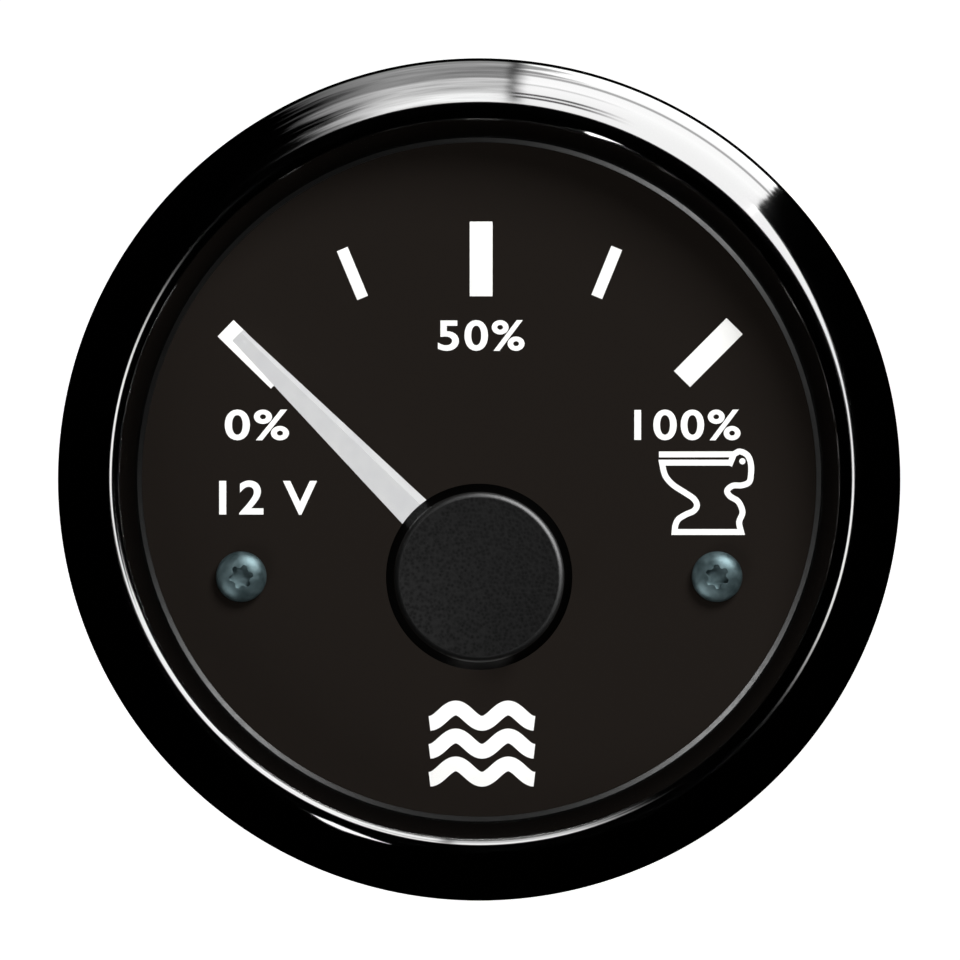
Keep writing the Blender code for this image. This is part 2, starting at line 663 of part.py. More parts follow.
def cut_stud_bore(obj, side, low_z, high_z):
    bore = cylinder("stud_bore", STUD_RADIUS + THREAD_GAP, low_z - CUT_SPARE, high_z + CUT_SPARE)
    cut(obj, add_helper("stud_bore", bore, side * STUD_X))


def cut_dial_holes(obj, low_z, high_z):
    """The hole for the spindle and the two for the dial screws, through a plate."""
    hole = cylinder(
        "pivot_hole",
        SPINDLE_RADIUS + PIVOT_HOLE_CLEARANCE,
        low_z - CUT_SPARE,
        high_z + CUT_SPARE,
    )
    cut(obj, add_helper("pivot_hole", hole, y=PIVOT_Y))
    for side in (-1, 1):
        hole = cylinder(
            "screw_hole",
            SCREW_SHANK_RADIUS + THREAD_GAP,
            low_z - CUT_SPARE,
            high_z + CUT_SPARE,
            HOLE_STEPS,
        )
        cut(obj, add_helper("screw_hole", hole, side * SCREW_X, SCREW_Y))


def add_dial_plate():
    """The dial, with its scale standing proud of it as a screen print does."""
    plate = turned_part(
        "dial_plate",
        disc_section(PLATE_RADIUS, DIAL_REAR_Z, DIAL_FACE_Z),
        "dial_plastic",
        LARGE_STEPS,
        closed=False,
    )
    for index in range(TICK_COUNT):
        major = index % 2 == 0
        length = MAJOR_TICK_LENGTH if major else MINOR_TICK_LENGTH
        width = MAJOR_TICK_WIDTH if major else MINOR_TICK_WIDTH
        tick = block(
            "scale_tick",
            length,
            width,
            DIAL_FACE_Z - DIAL_PLATE_THICKNESS / 2,
            DIAL_FACE_Z + TICK_RELIEF,
            x=SCALE_RADIUS - length / 2,
        )
        turn = POINTER_REST_DEG - SWEEP_DEG * index / (TICK_COUNT - 1)
        join(plate, add_helper("scale_tick", tick, y=PIVOT_Y, turn_deg=turn))
    cut_dial_holes(plate, DIAL_REAR_Z, DIAL_FACE_Z)


def add_light_guide():
    """A clear plate with a skirt that stands on the circuit board."""
    skirt_rear_z = BOARD_FRONT_Z + SEAT_GAP
    profile = [
        (0, GUIDE_FRONT_Z),
        (PLATE_RADIUS, GUIDE_FRONT_Z),
        (PLATE_RADIUS, skirt_rear_z),
        (SKIRT_INNER_RADIUS, skirt_rear_z),
        (SKIRT_INNER_RADIUS, GUIDE_REAR_Z),
        (0, GUIDE_REAR_Z),
    ]
    guide = turned_part("light_guide", profile, "clear_acrylic", LARGE_STEPS, closed=False)
    cut_dial_holes(guide, GUIDE_REAR_Z, GUIDE_FRONT_Z)


def add_circuit_board():
    board = turned_part(
        "circuit_board",
        disc_section(PLATE_RADIUS, BOARD_REAR_Z, BOARD_FRONT_Z),
        "board_laminate",
        LARGE_STEPS,
        closed=False,
    )
    cut_dial_holes(board, BOARD_REAR_Z, BOARD_FRONT_Z)
    cut_pin_slots(board, BOARD_REAR_Z, BOARD_FRONT_Z)
    for side in (-1, 1):
        for end in (-1, 1):
            hole = cylinder(
                "lead_hole",
                LEAD_RADIUS + THREAD_GAP,
                BOARD_REAR_Z - CUT_SPARE,
                BOARD_FRONT_Z + CUT_SPARE,
                HOLE_STEPS,
            )
            cut(board, add_helper("lead_hole", hole, side * COMPONENT_X, COMPONENT_Y + end * LEAD_Y))


def add_leds():
    low_z = BOARD_FRONT_Z + SEAT_GAP
    for name, angle_deg in LED_ANGLES_DEG.items():
        angle = math.radians(angle_deg)
        x = LED_CIRCLE_RADIUS * math.cos(angle)
        y = LED_CIRCLE_RADIUS * math.sin(angle)
        add_part(name, block(name, LED_LENGTH, LED_WIDTH, low_z, low_z + LED_HEIGHT), "led_white", x, y)


def add_component(name, material, side):
    """A wire-ended component on the back of the board: a waisted body and two bent leads."""
    centre_z = BOARD_REAR_Z - LEAD_STANDOFF - COMPONENT_RADIUS
    waist_z = COMPONENT_HALF - COMPONENT_END_LENGTH
    profile = [
        (0, COMPONENT_HALF),
        (COMPONENT_WAIST_RADIUS, COMPONENT_HALF),
        (COMPONENT_RADIUS, (COMPONENT_HALF + waist_z) / 2),
        (COMPONENT_WAIST_RADIUS, waist_z),
        (COMPONENT_WAIST_RADIUS, -waist_z),
        (COMPONENT_RADIUS, -(COMPONENT_HALF + waist_z) / 2),
        (COMPONENT_WAIST_RADIUS, -COMPONENT_HALF),
        (0, -COMPONENT_HALF),
    ]
    x = side * COMPONENT_X
    body = turned_part(name, profile, material, SMALL_STEPS, x, COMPONENT_Y, closed=False)
    body.location.z = centre_z
    body.rotation_euler = (math.radians(90), 0, 0)
    for end in (-1, 1):
        route = [
            (0, end * (COMPONENT_HALF - COMPONENT_END_LENGTH / 2), centre_z),
            (0, end * (LEAD_Y - LEAD_BEND), centre_z),
            (0, end * LEAD_Y, centre_z + LEAD_BEND),
            (0, end * LEAD_Y, BOARD_FRONT_Z),
        ]
        join(body, add_helper("lead", wire_mesh("lead", route, LEAD_RADIUS), x, COMPONENT_Y))


def add_dial_screw(name, side):
    """A domed screw with a six-lobe recess, through the dial stack into its boss."""
    edge_z = SCREW_SEAT_Z + SCREW_EDGE_HEIGHT
    end_z = SCREW_SEAT_Z - SCREW_LENGTH
    profile = arc(0, edge_z, SCREW_HEAD_RADIUS, SCREW_HEAD_HEIGHT - SCREW_EDGE_HEIGHT, 90, 0, 4)
    profile += [
        (SCREW_HEAD_RADIUS, SCREW_SEAT_Z),
        (SCREW_SHANK_RADIUS, SCREW_SEAT_Z),
        (SCREW_SHANK_RADIUS, end_z + SCREW_POINT_LENGTH),
        (0, end_z),
    ]
    x = side * SCREW_X
    screw = turned_part(name, profile, "screw_steel", SMALL_STEPS, x, SCREW_Y, closed=False)
    recess_top = SCREW_SEAT_Z + SCREW_HEAD_HEIGHT
    recess = flat_mesh(
        "screw_recess",
        lobed_outline(SCREW_RECESS_RADIUS, SCREW_LOBE_DEPTH, SCREW_LOBES, 4),
        recess_top - SCREW_RECESS_DEPTH,
        recess_top + CUT_SPARE,
    )
    cut(screw, add_helper("screw_recess", recess, x, SCREW_Y))


def needle_section(reach, width):
    """The needle's cross-section at a reach: a flat back, thin edges and a ridge near one edge."""
    half = width / 2
    edge_z = NEEDLE_REAR_Z + NEEDLE_EDGE
    ridge_y = NEEDLE_RIDGE_SHARE * width - half
    return [
        (reach, half, NEEDLE_REAR_Z),
        (reach, half, edge_z),
        (reach, ridge_y, NEEDLE_FRONT_Z),
        (reach, -half, edge_z),
        (reach, -half, NEEDLE_REAR_Z),
    ]


def needle_mesh():
    """A loft from the pivot to the tip."""
    bm = bmesh.new()
    loops = []
    for reach, width in ((0.0, NEEDLE_ROOT_WIDTH), (NEEDLE_REACH, NEEDLE_TIP_WIDTH)):
        points = [bm.verts.new(corner) for corner in needle_section(reach, width)]
        loops += [bm.edges.new((a, b)) for a, b in zip(points, points[1:] + points[:1])]
        bm.faces.new(points)
    bmesh.ops.bridge_loops(bm, edges=loops)
    bmesh.ops.recalc_face_normals(bm, faces=bm.faces)
    return mesh_from(bm, "needle")


def add_pointer():
    """Needle, hub and tail, moulded in one, on the spindle's front end."""
    turn = POINTER_REST_DEG
    hub = cylinder("pointer", HUB_RADIUS, NEEDLE_REAR_Z, HUB_FRONT_Z, MEDIUM_STEPS)
    pointer = add_part("pointer", hub, "pointer_silver", y=PIVOT_Y, turn_deg=turn)
    join(pointer, add_helper("needle", needle_mesh(), y=PIVOT_Y, turn_deg=turn))
    tail_length = WEIGHT_REACH + WEIGHT_RADIUS + SEAT_GAP
    tail = block(
        "pointer_tail",
        tail_length,
        TAIL_WIDTH,
        NEEDLE_REAR_Z,
        NEEDLE_REAR_Z + TAIL_THICKNESS,
        x=-tail_length / 2,
    )
    join(pointer, add_helper("pointer_tail", tail, y=PIVOT_Y, turn_deg=turn))
    bore = cylinder(
        "hub_bore", SPINDLE_RADIUS + PRESS_GAP, NEEDLE_REAR_Z - CUT_SPARE, HUB_FRONT_Z + CUT_SPARE
    )
    cut(pointer, add_helper("hub_bore", bore, y=PIVOT_Y))


def add_pointer_cap():
    """A shallow drafted cap, with a collar that grips the pointer's hub."""
    edge_x = CAP_TOP_RADIUS - CAP_EDGE_RADIUS
    edge_z = CAP_FRONT_Z - CAP_EDGE_RADIUS
    profile = [(0, CAP_FRONT_Z)]
    profile += arc(edge_x, edge_z, CAP_EDGE_RADIUS, CAP_EDGE_RADIUS, 90, 0, 2)
    profile += [
        (CAP_RADIUS, CAP_REAR_Z),
        (CAP_BORE, CAP_REAR_Z),
        (CAP_BORE, CAP_CAVITY_Z),
        (COLLAR_OUTER_RADIUS, CAP_CAVITY_Z),
        (COLLAR_OUTER_RADIUS, CAP_REAR_Z),
        (COLLAR_INNER_RADIUS, CAP_REAR_Z),
        (COLLAR_INNER_RADIUS, CAP_CAVITY_Z),
        (0, CAP_CAVITY_Z),
    ]
    turned_part("pointer_cap", profile, "cap_plastic", MEDIUM_STEPS, y=PIVOT_Y, closed=False)


def add_balance_weight():
    """A brass slug on the pointer's tail, under the cap."""
    angle = math.radians(POINTER_REST_DEG + 180)
    low_z = NEEDLE_REAR_Z + TAIL_THICKNESS + SEAT_GAP
    slug = cylinder("balance_weight", WEIGHT_RADIUS, low_z, CAP_CAVITY_Z - SEAT_GAP)
    x = WEIGHT_REACH * math.cos(angle)
    y = PIVOT_Y + WEIGHT_REACH * math.sin(angle)
    add_part("balance_weight", slug, "brass", x, y)


def add_rotor():
    """The spindle with a pivot at its back end, and the magnet disc pressed on it."""
    spindle = [
        (0, SPINDLE_FRONT_Z),
        (SPINDLE_RADIUS, SPINDLE_FRONT_Z),
        (SPINDLE_RADIUS, SPINDLE_REAR_Z + SPINDLE_RADIUS),
        (0, SPINDLE_REAR_Z),
    ]
    turned_part("spindle", spindle, "bright_steel", SMALL_STEPS, y=PIVOT_Y, closed=False)
    magnet = ring_section(SPINDLE_RADIUS + PRESS_GAP, MAGNET_RADIUS, MAGNET_REAR_Z, MAGNET_FRONT_Z)
    turned_part("rotor_magnet", magnet, "ferrite", MEDIUM_STEPS, y=PIVOT_Y)


def add_bobbin():
    """Two nylon halves that close round the magnet and carry the coils and bearings."""
    bore = BEARING_RADIUS + PRESS_GAP
    front_lip_z = BOBBIN_SPLIT_Z + SEAT_GAP / 2
    rear_lip_z = BOBBIN_SPLIT_Z - SEAT_GAP / 2
    front = [
        (bore, BOBBIN_FRONT_Z),
        (BOBBIN_RADIUS, BOBBIN_FRONT_Z),
        (BOBBIN_RADIUS, front_lip_z),
        (CAVITY_RADIUS, front_lip_z),
        (CAVITY_RADIUS, CAVITY_FRONT_Z),
        (bore, CAVITY_FRONT_Z),
    ]
    rear = [
        (bore, CAVITY_REAR_Z),
        (CAVITY_RADIUS, CAVITY_REAR_Z),
        (CAVITY_RADIUS, rear_lip_z),
        (BOBBIN_RADIUS, rear_lip_z),
        (BOBBIN_RADIUS, BOBBIN_REAR_Z),
        (bore, BOBBIN_REAR_Z),
    ]
    turned_part("bobbin_front", front, "bobbin_nylon", MEDIUM_STEPS, y=PIVOT_Y)
    turned_part("bobbin_rear", rear, "bobbin_nylon", MEDIUM_STEPS, y=PIVOT_Y)


def add_bearings():
    """A plain bush in front, and a cup at the back that the spindle's pivot stands in."""
    shaft_hole = SPINDLE_RADIUS + RUNNING_GAP
    bush = ring_section(shaft_hole, BEARING_RADIUS, CAVITY_FRONT_Z, BOBBIN_FRONT_Z - SEAT_GAP)
    turned_part("front_bearing", bush, "brass", SMALL_STEPS, y=PIVOT_Y)
    pivot_z = SPINDLE_REAR_Z - 2 * RUNNING_GAP
    cup = [
        (0, pivot_z),
        (shaft_hole, pivot_z + shaft_hole),
        (shaft_hole, CAVITY_REAR_Z),
        (BEARING_RADIUS, CAVITY_REAR_Z),
        (BEARING_RADIUS, BOBBIN_REAR_Z - BEARING_FOOT),
        (0, BOBBIN_REAR_Z - BEARING_FOOT),
    ]
    turned_part("rear_bearing", cup, "brass", SMALL_STEPS, y=PIVOT_Y, closed=False)


def coil_outline(front_z, rear_z):
    """A coil seen along its winding axis, as (across, along the gauge's axis) points."""
    centre_x = COIL_BORE
    front_y = front_z - COIL_THICKNESS
    rear_y = rear_z + COIL_THICKNESS
    radius = COIL_THICKNESS
    outline = arc(centre_x, front_y, radius, radius, 0, 90, BEND_STEPS)
    outline += arc(-centre_x, front_y, radius, radius, 90, 180, BEND_STEPS)
    outline += arc(-centre_x, rear_y, radius, radius, 180, 270, BEND_STEPS)
    outline += arc(centre_x, rear_y, radius, radius, 270, 360, BEND_STEPS)
    return outline


def add_coil(name, front_z, rear_z, offset, turn_deg):
    """A bundle of wire wound over the bobbin's front, back and two sides."""
    winding = flat_mesh(name, coil_outline(front_z, rear_z), -COIL_WIDTH / 2, COIL_WIDTH / 2)
    window = block(
        name + "_window",
        2 * COIL_BORE,
        front_z - rear_z - 2 * COIL_THICKNESS,
        -COIL_WIDTH,
        COIL_WIDTH,
        y=(front_z + rear_z) / 2,
    )
    coil = add_part(name, winding, "copper_wire")
    helper = add_helper(name + "_window", window)
    angle = math.radians(turn_deg)
    for obj in (coil, helper):
        obj.rotation_euler = (math.radians(90), 0, angle)
        obj.location = (-offset * math.sin(angle), PIVOT_Y + offset * math.cos(angle), 0)
    cut(coil, helper)


def add_coils():
    add_coil("coil_outer_upper", OUTER_COIL_FRONT_Z, OUTER_COIL_REAR_Z, COIL_OFFSET, 0)
    add_coil("coil_outer_lower", OUTER_COIL_FRONT_Z, OUTER_COIL_REAR_Z, -COIL_OFFSET, 0)
    add_coil("coil_inner_left", INNER_COIL_FRONT_Z, INNER_COIL_REAR_Z, COIL_OFFSET, 90)
    add_coil("coil_inner_right", INNER_COIL_FRONT_Z, INNER_COIL_REAR_Z, -COIL_OFFSET, 90)


def add_shield_can():
    profile = [
        (0, CAN_FLOOR_Z),
        (CAN_BORE, CAN_FLOOR_Z),
        (CAN_BORE, LEDGE_Z),
        (CAN_RADIUS, LEDGE_Z),
        (CAN_RADIUS, CAN_REAR_Z),
        (0, CAN_REAR_Z),
    ]
    turned_part("shield_can", profile, "bright_steel", MEDIUM_STEPS, y=PIVOT_Y, closed=False)


def add_terminal(name, x):
    """A stamped blade outside the back wall, with a long pin that ends in the circuit board."""
    shoulder_z = PAD_REAR_Z - SEAT_GAP
    tip_z = shoulder_z - BLADE_LENGTH
    half_blade = BLADE_WIDTH / 2
    half_pin = PIN_WIDTH / 2
    outline = [
        (half_pin, BOARD_FRONT_Z),
        (-half_pin, BOARD_FRONT_Z),
        (-half_pin, shoulder_z),
        (-half_blade, shoulder_z),
        (-half_blade, tip_z + BLADE_CHAMFER),
        (-half_blade + BLADE_CHAMFER, tip_z),
        (half_blade - BLADE_CHAMFER, tip_z),
        (half_blade, tip_z + BLADE_CHAMFER),
        (half_blade, shoulder_z),
        (half_pin, shoulder_z),
    ]
    blade = flat_mesh(name, outline, -BLADE_THICKNESS / 2, BLADE_THICKNESS / 2)
    hole = cylinder("blade_hole", BLADE_HOLE_RADIUS, -BLADE_THICKNESS, BLADE_THICKNESS, HOLE_STEPS)
    terminal = add_part(name, blade, "brass", x, TERMINAL_Y)
    helper = add_helper("blade_hole", hole, x, TERMINAL_Y)
    helper.location.z = tip_z + BLADE_HOLE_FROM_TIP
    for obj in (terminal, helper):
        obj.rotation_euler = (math.radians(90), 0, math.radians(90))
    cut(terminal, helper)


def add_stud(name, side):
    """A stud whose hexagon head sits inside the case."""
    head_rear_z = CASE_FLOOR_Z + SEAT_GAP
    head_front_z = head_rear_z + STUD_HEAD_HEIGHT
    shank_top_z = (head_rear_z + head_front_z) / 2
    profile = [
        (0, shank_top_z),
        (STUD_RADIUS, shank_top_z),
        (STUD_RADIUS, STUD_END_Z + STUD_END_CHAMFER),
        (STUD_RADIUS - STUD_END_CHAMFER, STUD_END_Z),
        (0, STUD_END_Z),
    ]
    stud = turned_part(name, profile, "zinc_plate", SMALL_STEPS, side * STUD_X, closed=False)
    head = hexagon("stud_head", STUD_HEAD_FLATS, head_rear_z, head_front_z)
    join(stud, add_helper("stud_head", head, side * STUD_X))


def add_jam_nut(name, side):
    mesh = hexagon(name, STUD_HEAD_FLATS, JAM_NUT_REAR_Z, JAM_NUT_FRONT_Z)
    nut = add_part(name, mesh, "zinc_plate", side * STUD_X)
    cut_stud_bore(nut, side, JAM_NUT_REAR_Z, JAM_NUT_FRONT_Z)


def strap_outline():
    """The bent strap seen from above, as (across, along the gauge's axis) points."""
    outer_bend = STRAP_INNER_BEND + STRAP_THICKNESS
    foot_front_z = -PANEL_THICKNESS
    foot_bend = (LEG_INNER_X + outer_bend, foot_front_z - outer_bend)
    corner_bend = (LEG_INNER_X + STRAP_THICKNESS - outer_bend, STRAP_REAR_Z + outer_bend)
    foot_end_x = LEG_INNER_X + outer_bend + FOOT_FLAT
    inside = [(foot_end_x, foot_front_z - STRAP_THICKNESS), (foot_end_x, foot_front_z)]
    inside += arc(*foot_bend, outer_bend, outer_bend, 90, 180, BEND_STEPS)
    inside += arc(*corner_bend, STRAP_INNER_BEND, STRAP_INNER_BEND, 0, -90, BEND_STEPS)
    outside = arc(*corner_bend, outer_bend, outer_bend, -90, 0, BEND_STEPS)
    outside += arc(*foot_bend, STRAP_INNER_BEND, STRAP_INNER_BEND, 180, 90, BEND_STEPS)
    left_inside = [(-x, z) for x, z in reversed(inside)]
    left_outside = [(-x, z) for x, z in reversed(outside)]
    return inside + left_inside + left_outside + outside


def add_clamp_bracket():
    """One bent steel strap: a bridge behind the case, two legs, and two feet that meet the panel."""
    mesh = flat_mesh("clamp_bracket", strap_outline(), -STRAP_WIDTH / 2, STRAP_WIDTH / 2)
    strap = add_part("clamp_bracket", mesh, "zinc_plate")
    strap.rotation_euler = (math.radians(90), 0, 0)
    for side in (-1, 1):
        cut_stud_bore(strap, side, STRAP_REAR_Z, STRAP_FRONT_Z)


def add_spring_washer(name, side):
    section = ring_section(STUD_RADIUS + THREAD_GAP, WASHER_RADIUS, WASHER_REAR_Z, WASHER_FRONT_Z)
    washer = turned_part(name, section, "zinc_plate", SMALL_STEPS, side * STUD_X)
    split = block(
        "washer_split",
        WASHER_SPLIT,
        2 * WASHER_RADIUS,
        WASHER_REAR_Z - CUT_SPARE,
        WASHER_FRONT_Z + CUT_SPARE,
        y=WASHER_RADIUS,
    )
    cut(washer, add_helper("washer_split", split, side * STUD_X))


def add_thumb_nut(name, side):
    """A knurled nut: a toothed prism trimmed by a turned blank, then bored."""
    knurls = lobed_outline(NUT_RADIUS, KNURL_DEPTH, NUT_KNURLS, 2)
    nut = add_part(name, flat_mesh(name, knurls, NUT_REAR_Z, NUT_FRONT_Z), "brass", side * STUD_X)
    wide = NUT_RADIUS + CUT_SPARE
    slope = NUT_CHAMFER + CUT_SPARE
    blank = [
        (0, NUT_FRONT_Z),
        (NUT_RADIUS - NUT_CHAMFER, NUT_FRONT_Z),
        (wide, NUT_FRONT_Z - slope),
        (wide, NUT_REAR_Z + slope),
        (NUT_RADIUS - NUT_CHAMFER, NUT_REAR_Z),
        (0, NUT_REAR_Z),
    ]
    helper = add_helper(name + "_blank", profile_mesh(name, blank, closed=False), side * STUD_X)
    turn_profile(helper, NUT_KNURLS)
    combine(nut, "INTERSECT", helper)
    cut_stud_bore(nut, side, NUT_REAR_Z, NUT_FRONT_Z)


def add_front():
    add_bezel()
    add_lens()
    add_seals()
    add_dial_ring()
    add_dial_plate()
    add_light_guide()
    for label, side in (("left", -1), ("right", 1)):
        add_dial_screw("dial_screw_" + label, side)


def add_electronics():
    add_circuit_board()
    add_leds()
    add_component("series_resistor", "resistor_body", -1)
    add_component("zener_diode", "diode_body", 1)
    for name, x in zip(TERMINAL_NAMES, terminal_places()):
        add_terminal(name, x)


def add_movement():
    add_pointer()
    add_pointer_cap()
    add_balance_weight()
    add_rotor()
    add_bobbin()
    add_bearings()
    add_coils()
    add_shield_can()


def add_clamp():
    add_clamp_bracket()
    for label, side in (("left", -1), ("right", 1)):
        add_stud("clamp_stud_" + label, side)
        add_jam_nut("jam_nut_" + label, side)
        add_spring_washer("spring_washer_" + label, side)
        add_thumb_nut("thumb_nut_" + label, side)


clear_scene()
PARTS = add_collection("tank_level_gauge")
CUTTERS = add_collection("cutters")
AXIS = add_upright_axis(PARTS)
add_case()
add_front()
add_electronics()
add_movement()
add_clamp()
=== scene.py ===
"""The looks of a round panel gauge for a holding tank: black bezel, lens, dial, pointer and back.

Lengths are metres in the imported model's frame: +X is right, +Z is up and the dial looks along -Y.
A section is drawn as (radius, out) points, where out is the distance in front of the panel.
"""

import json
import math
from contextlib import contextmanager

import bmesh
import bpy
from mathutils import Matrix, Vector

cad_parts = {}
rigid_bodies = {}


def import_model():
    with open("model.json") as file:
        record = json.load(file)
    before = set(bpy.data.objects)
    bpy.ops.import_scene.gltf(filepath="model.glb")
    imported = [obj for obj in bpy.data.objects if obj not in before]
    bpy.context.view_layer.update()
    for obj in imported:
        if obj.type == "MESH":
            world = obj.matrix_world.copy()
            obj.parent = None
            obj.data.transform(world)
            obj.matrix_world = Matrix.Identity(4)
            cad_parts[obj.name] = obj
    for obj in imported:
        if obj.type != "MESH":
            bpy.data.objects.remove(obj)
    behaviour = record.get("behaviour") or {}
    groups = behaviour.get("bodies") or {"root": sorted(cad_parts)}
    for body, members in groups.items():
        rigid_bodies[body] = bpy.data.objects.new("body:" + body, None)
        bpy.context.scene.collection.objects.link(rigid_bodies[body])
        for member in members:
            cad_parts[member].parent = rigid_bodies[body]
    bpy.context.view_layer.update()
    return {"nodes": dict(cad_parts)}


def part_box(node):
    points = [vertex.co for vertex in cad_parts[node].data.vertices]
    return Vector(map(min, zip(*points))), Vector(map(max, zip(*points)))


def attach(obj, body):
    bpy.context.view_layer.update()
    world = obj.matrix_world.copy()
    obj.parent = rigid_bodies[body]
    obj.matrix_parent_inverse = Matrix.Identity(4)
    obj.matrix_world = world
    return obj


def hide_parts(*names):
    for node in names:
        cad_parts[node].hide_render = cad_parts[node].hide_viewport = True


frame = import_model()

MM = 0.001
FULL_TURN = 2 * math.pi
WELD = 1e-6
SMOOTH_ANGLE = math.radians(32)
HOUSING = "housing"
NEEDLE_BODY = "pointer_group"
CLAMP = "clamp"

# Facets
RING_STEPS = 256
SMALL_STEPS = 96
TINY_STEPS = 48

# Bezel
BEZEL_SHEET = 0.6 * MM
CROWN_WIDTH = 3.6 * MM
CROWN_HEIGHT = 4.2 * MM
LIP_REACH = 0.86 * MM
LIP_LEAN_DEG = 9.3
BEZEL_BACK_LIP = 2.1 * MM

# Dial ring and print
FOOT_INSET = 0.19 * MM
FOOT_WIDTH = 0.34 * MM
FOOT_STEP = 0.13 * MM
FOOT_HEIGHT = 0.43 * MM
FOOT_SLOPE_DEG = 26.0
RING_SHOULDER = 0.35 * MM
PRINT_THICKNESS = 0.06 * MM
PRINT_SINK = 0.05 * MM
SCALE_RADIUS = 25.4 * MM
MAJOR_TICK = (5.35 * MM, 1.64 * MM)
MINOR_TICK = (3.8 * MM, 0.84 * MM)
# The print is a little off register: each tick's bearing, and how far right and up it sits.
TICKS = (
    (135.6, 0.0, 0.0),
    (112.7, 0.0, 0.0),
    (90.0, 0.14 * MM, 0.0),
    (67.8, 0.25 * MM, 0.0),
    (45.2, 0.38 * MM, -0.1 * MM),
)
FIGURE_HEIGHT = 2.2 * MM
UNIT_HEIGHT = 2.46 * MM
SYMBOL_LINE = 0.42 * MM
CORNER_GAP = 0.34 * MM

# Pointer
POINTER_REST_DEG = 135.0
NEEDLE_ROOT_WIDTH = 2.9 * MM
NEEDLE_TIP_WIDTH = 1.1 * MM
NEEDLE_EDGE = 0.35 * MM
NEEDLE_THICKNESS = 1.0 * MM
NEEDLE_RIDGE_SHARE = 0.22
HUB_RADIUS = 2.4 * MM
TAIL_LENGTH = 5.2 * MM
TAIL_WIDTH = 2.6 * MM
TAIL_THICKNESS = 0.5 * MM
CAP_TOP_RADIUS = 6.05 * MM
CAP_EDGE = 0.42 * MM
CAP_WALL = 0.8 * MM
CAP_CROWNING = 0.2 * MM

# Threads and fasteners
THREAD_PITCH = 0.7 * MM
THREAD_DEPTH = 0.38 * MM
STUD_RADIUS = 2.0 * MM
STUD_BORE = 2.15 * MM
KNURLS = 40
KNURL_DEPTH = 0.3 * MM
EDGE_BREAK = 0.12 * MM


def spot(x, up, out):
    """A point by its place on the face and its distance in front of the panel."""
    return Vector((x, -out, up))


def extent(node):
    """A CAD node's sides, with its rear and front as distances in front of the panel."""
    low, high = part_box(node)
    return {
        "left": low.x,
        "right": high.x,
        "bottom": low.z,
        "top": high.z,
        "rear": -high.y,
        "front": -low.y,
    }


def middle(node):
    """The (x, up) of a CAD node's middle."""
    low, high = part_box(node)
    return (low.x + high.x) / 2, (low.z + high.z) / 2


PIVOT_UP = middle("spindle")[1]


def arc(radius, out, across, along, start_deg, end_deg, pieces):
    """Points on an ellipse in a section: 0 degrees points off the axis and 90 at the reader."""
    points = []
    for index in range(pieces + 1):
        angle = math.radians(start_deg + (end_deg - start_deg) * index / pieces)
        points.append((radius + across * math.cos(angle), out + along * math.sin(angle)))
    return points


def make_active(piece):
    bpy.ops.object.select_all(action="DESELECT")
    piece.select_set(True)
    bpy.context.view_layer.objects.active = piece


@contextmanager
def editing(piece):
    """Edit mode on one piece, and back."""
    make_active(piece)
    bpy.ops.object.mode_set(mode="EDIT")
    bpy.ops.mesh.select_mode(type="VERT")
    yield
    bpy.ops.object.mode_set(mode="OBJECT")


def named(name):
    """Names the piece that was just added and puts its place and size into its mesh."""
    piece = bpy.context.object
    piece.name = name
    piece.data.name = name
    bpy.ops.object.transform_apply(location=True, rotation=True, scale=True)
    return piece


def select_points(test):
    """In edit mode: selects the points whose place passes the test, and what joins them."""
    bpy.ops.mesh.select_mode(type="VERT")
    bpy.ops.mesh.select_all(action="DESELECT")
    mesh = bpy.context.edit_object.data
    form = bmesh.from_edit_mesh(mesh)
    for point in form.verts:
        point.select = test(point.co)
    form.select_flush(True)
    bmesh.update_edit_mesh(mesh)


def select_edges(test):
    """In edit mode: selects the edges whose two ends pass the test."""
    bpy.ops.mesh.select_mode(type="EDGE")
    bpy.ops.mesh.select_all(action="DESELECT")
    mesh = bpy.context.edit_object.data
    form = bmesh.from_edit_mesh(mesh)
    for edge in form.edges:
        edge.select = test(edge.verts[0].co, edge.verts[1].co)
    form.select_flush(False)
    bmesh.update_edit_mesh(mesh)


def select_faces(test):
    """In edit mode: selects the faces whose middle and normal pass the test."""
    bpy.ops.mesh.select_mode(type="FACE")
    bpy.ops.mesh.select_all(action="DESELECT")
    mesh = bpy.context.edit_object.data
    form = bmesh.from_edit_mesh(mesh)
    form.normal_update()
    for face in form.faces:
        face.select = test(face.calc_center_median(), face.normal)
    form.select_flush(False)
    bmesh.update_edit_mesh(mesh)


def weld():
    """In edit mode: merges doubles and turns every face outwards."""
    bpy.ops.mesh.select_all(action="SELECT")
    bpy.ops.mesh.remove_doubles(threshold=WELD)
    bpy.ops.mesh.normals_make_consistent(inside=False)


def shape(piece, kind, **settings):
    """Puts a modifier on a piece and applies it."""
    modifier = piece.modifiers.new(kind.lower(), kind)
    for key, value in settings.items():
        setattr(modifier, key, value)
    make_active(piece)
    bpy.ops.object.modifier_apply(modifier=modifier.name)


def combine(piece, operation, tool):
    shape(piece, "BOOLEAN", operation=operation, object=tool, solver="EXACT")
    bpy.data.objects.remove(tool)


def cut(piece, tool):
    combine(piece, "DIFFERENCE", tool)


def unite(piece, tool):
    combine(piece, "UNION", tool)


def round_edges(piece, width, segments=2, angle_deg=30):
    shape(
        piece,
        "BEVEL",
        width=width,
        segments=segments,
        limit_method="ANGLE",
        angle_limit=math.radians(angle_deg),
        use_clamp_overlap=True,
    )


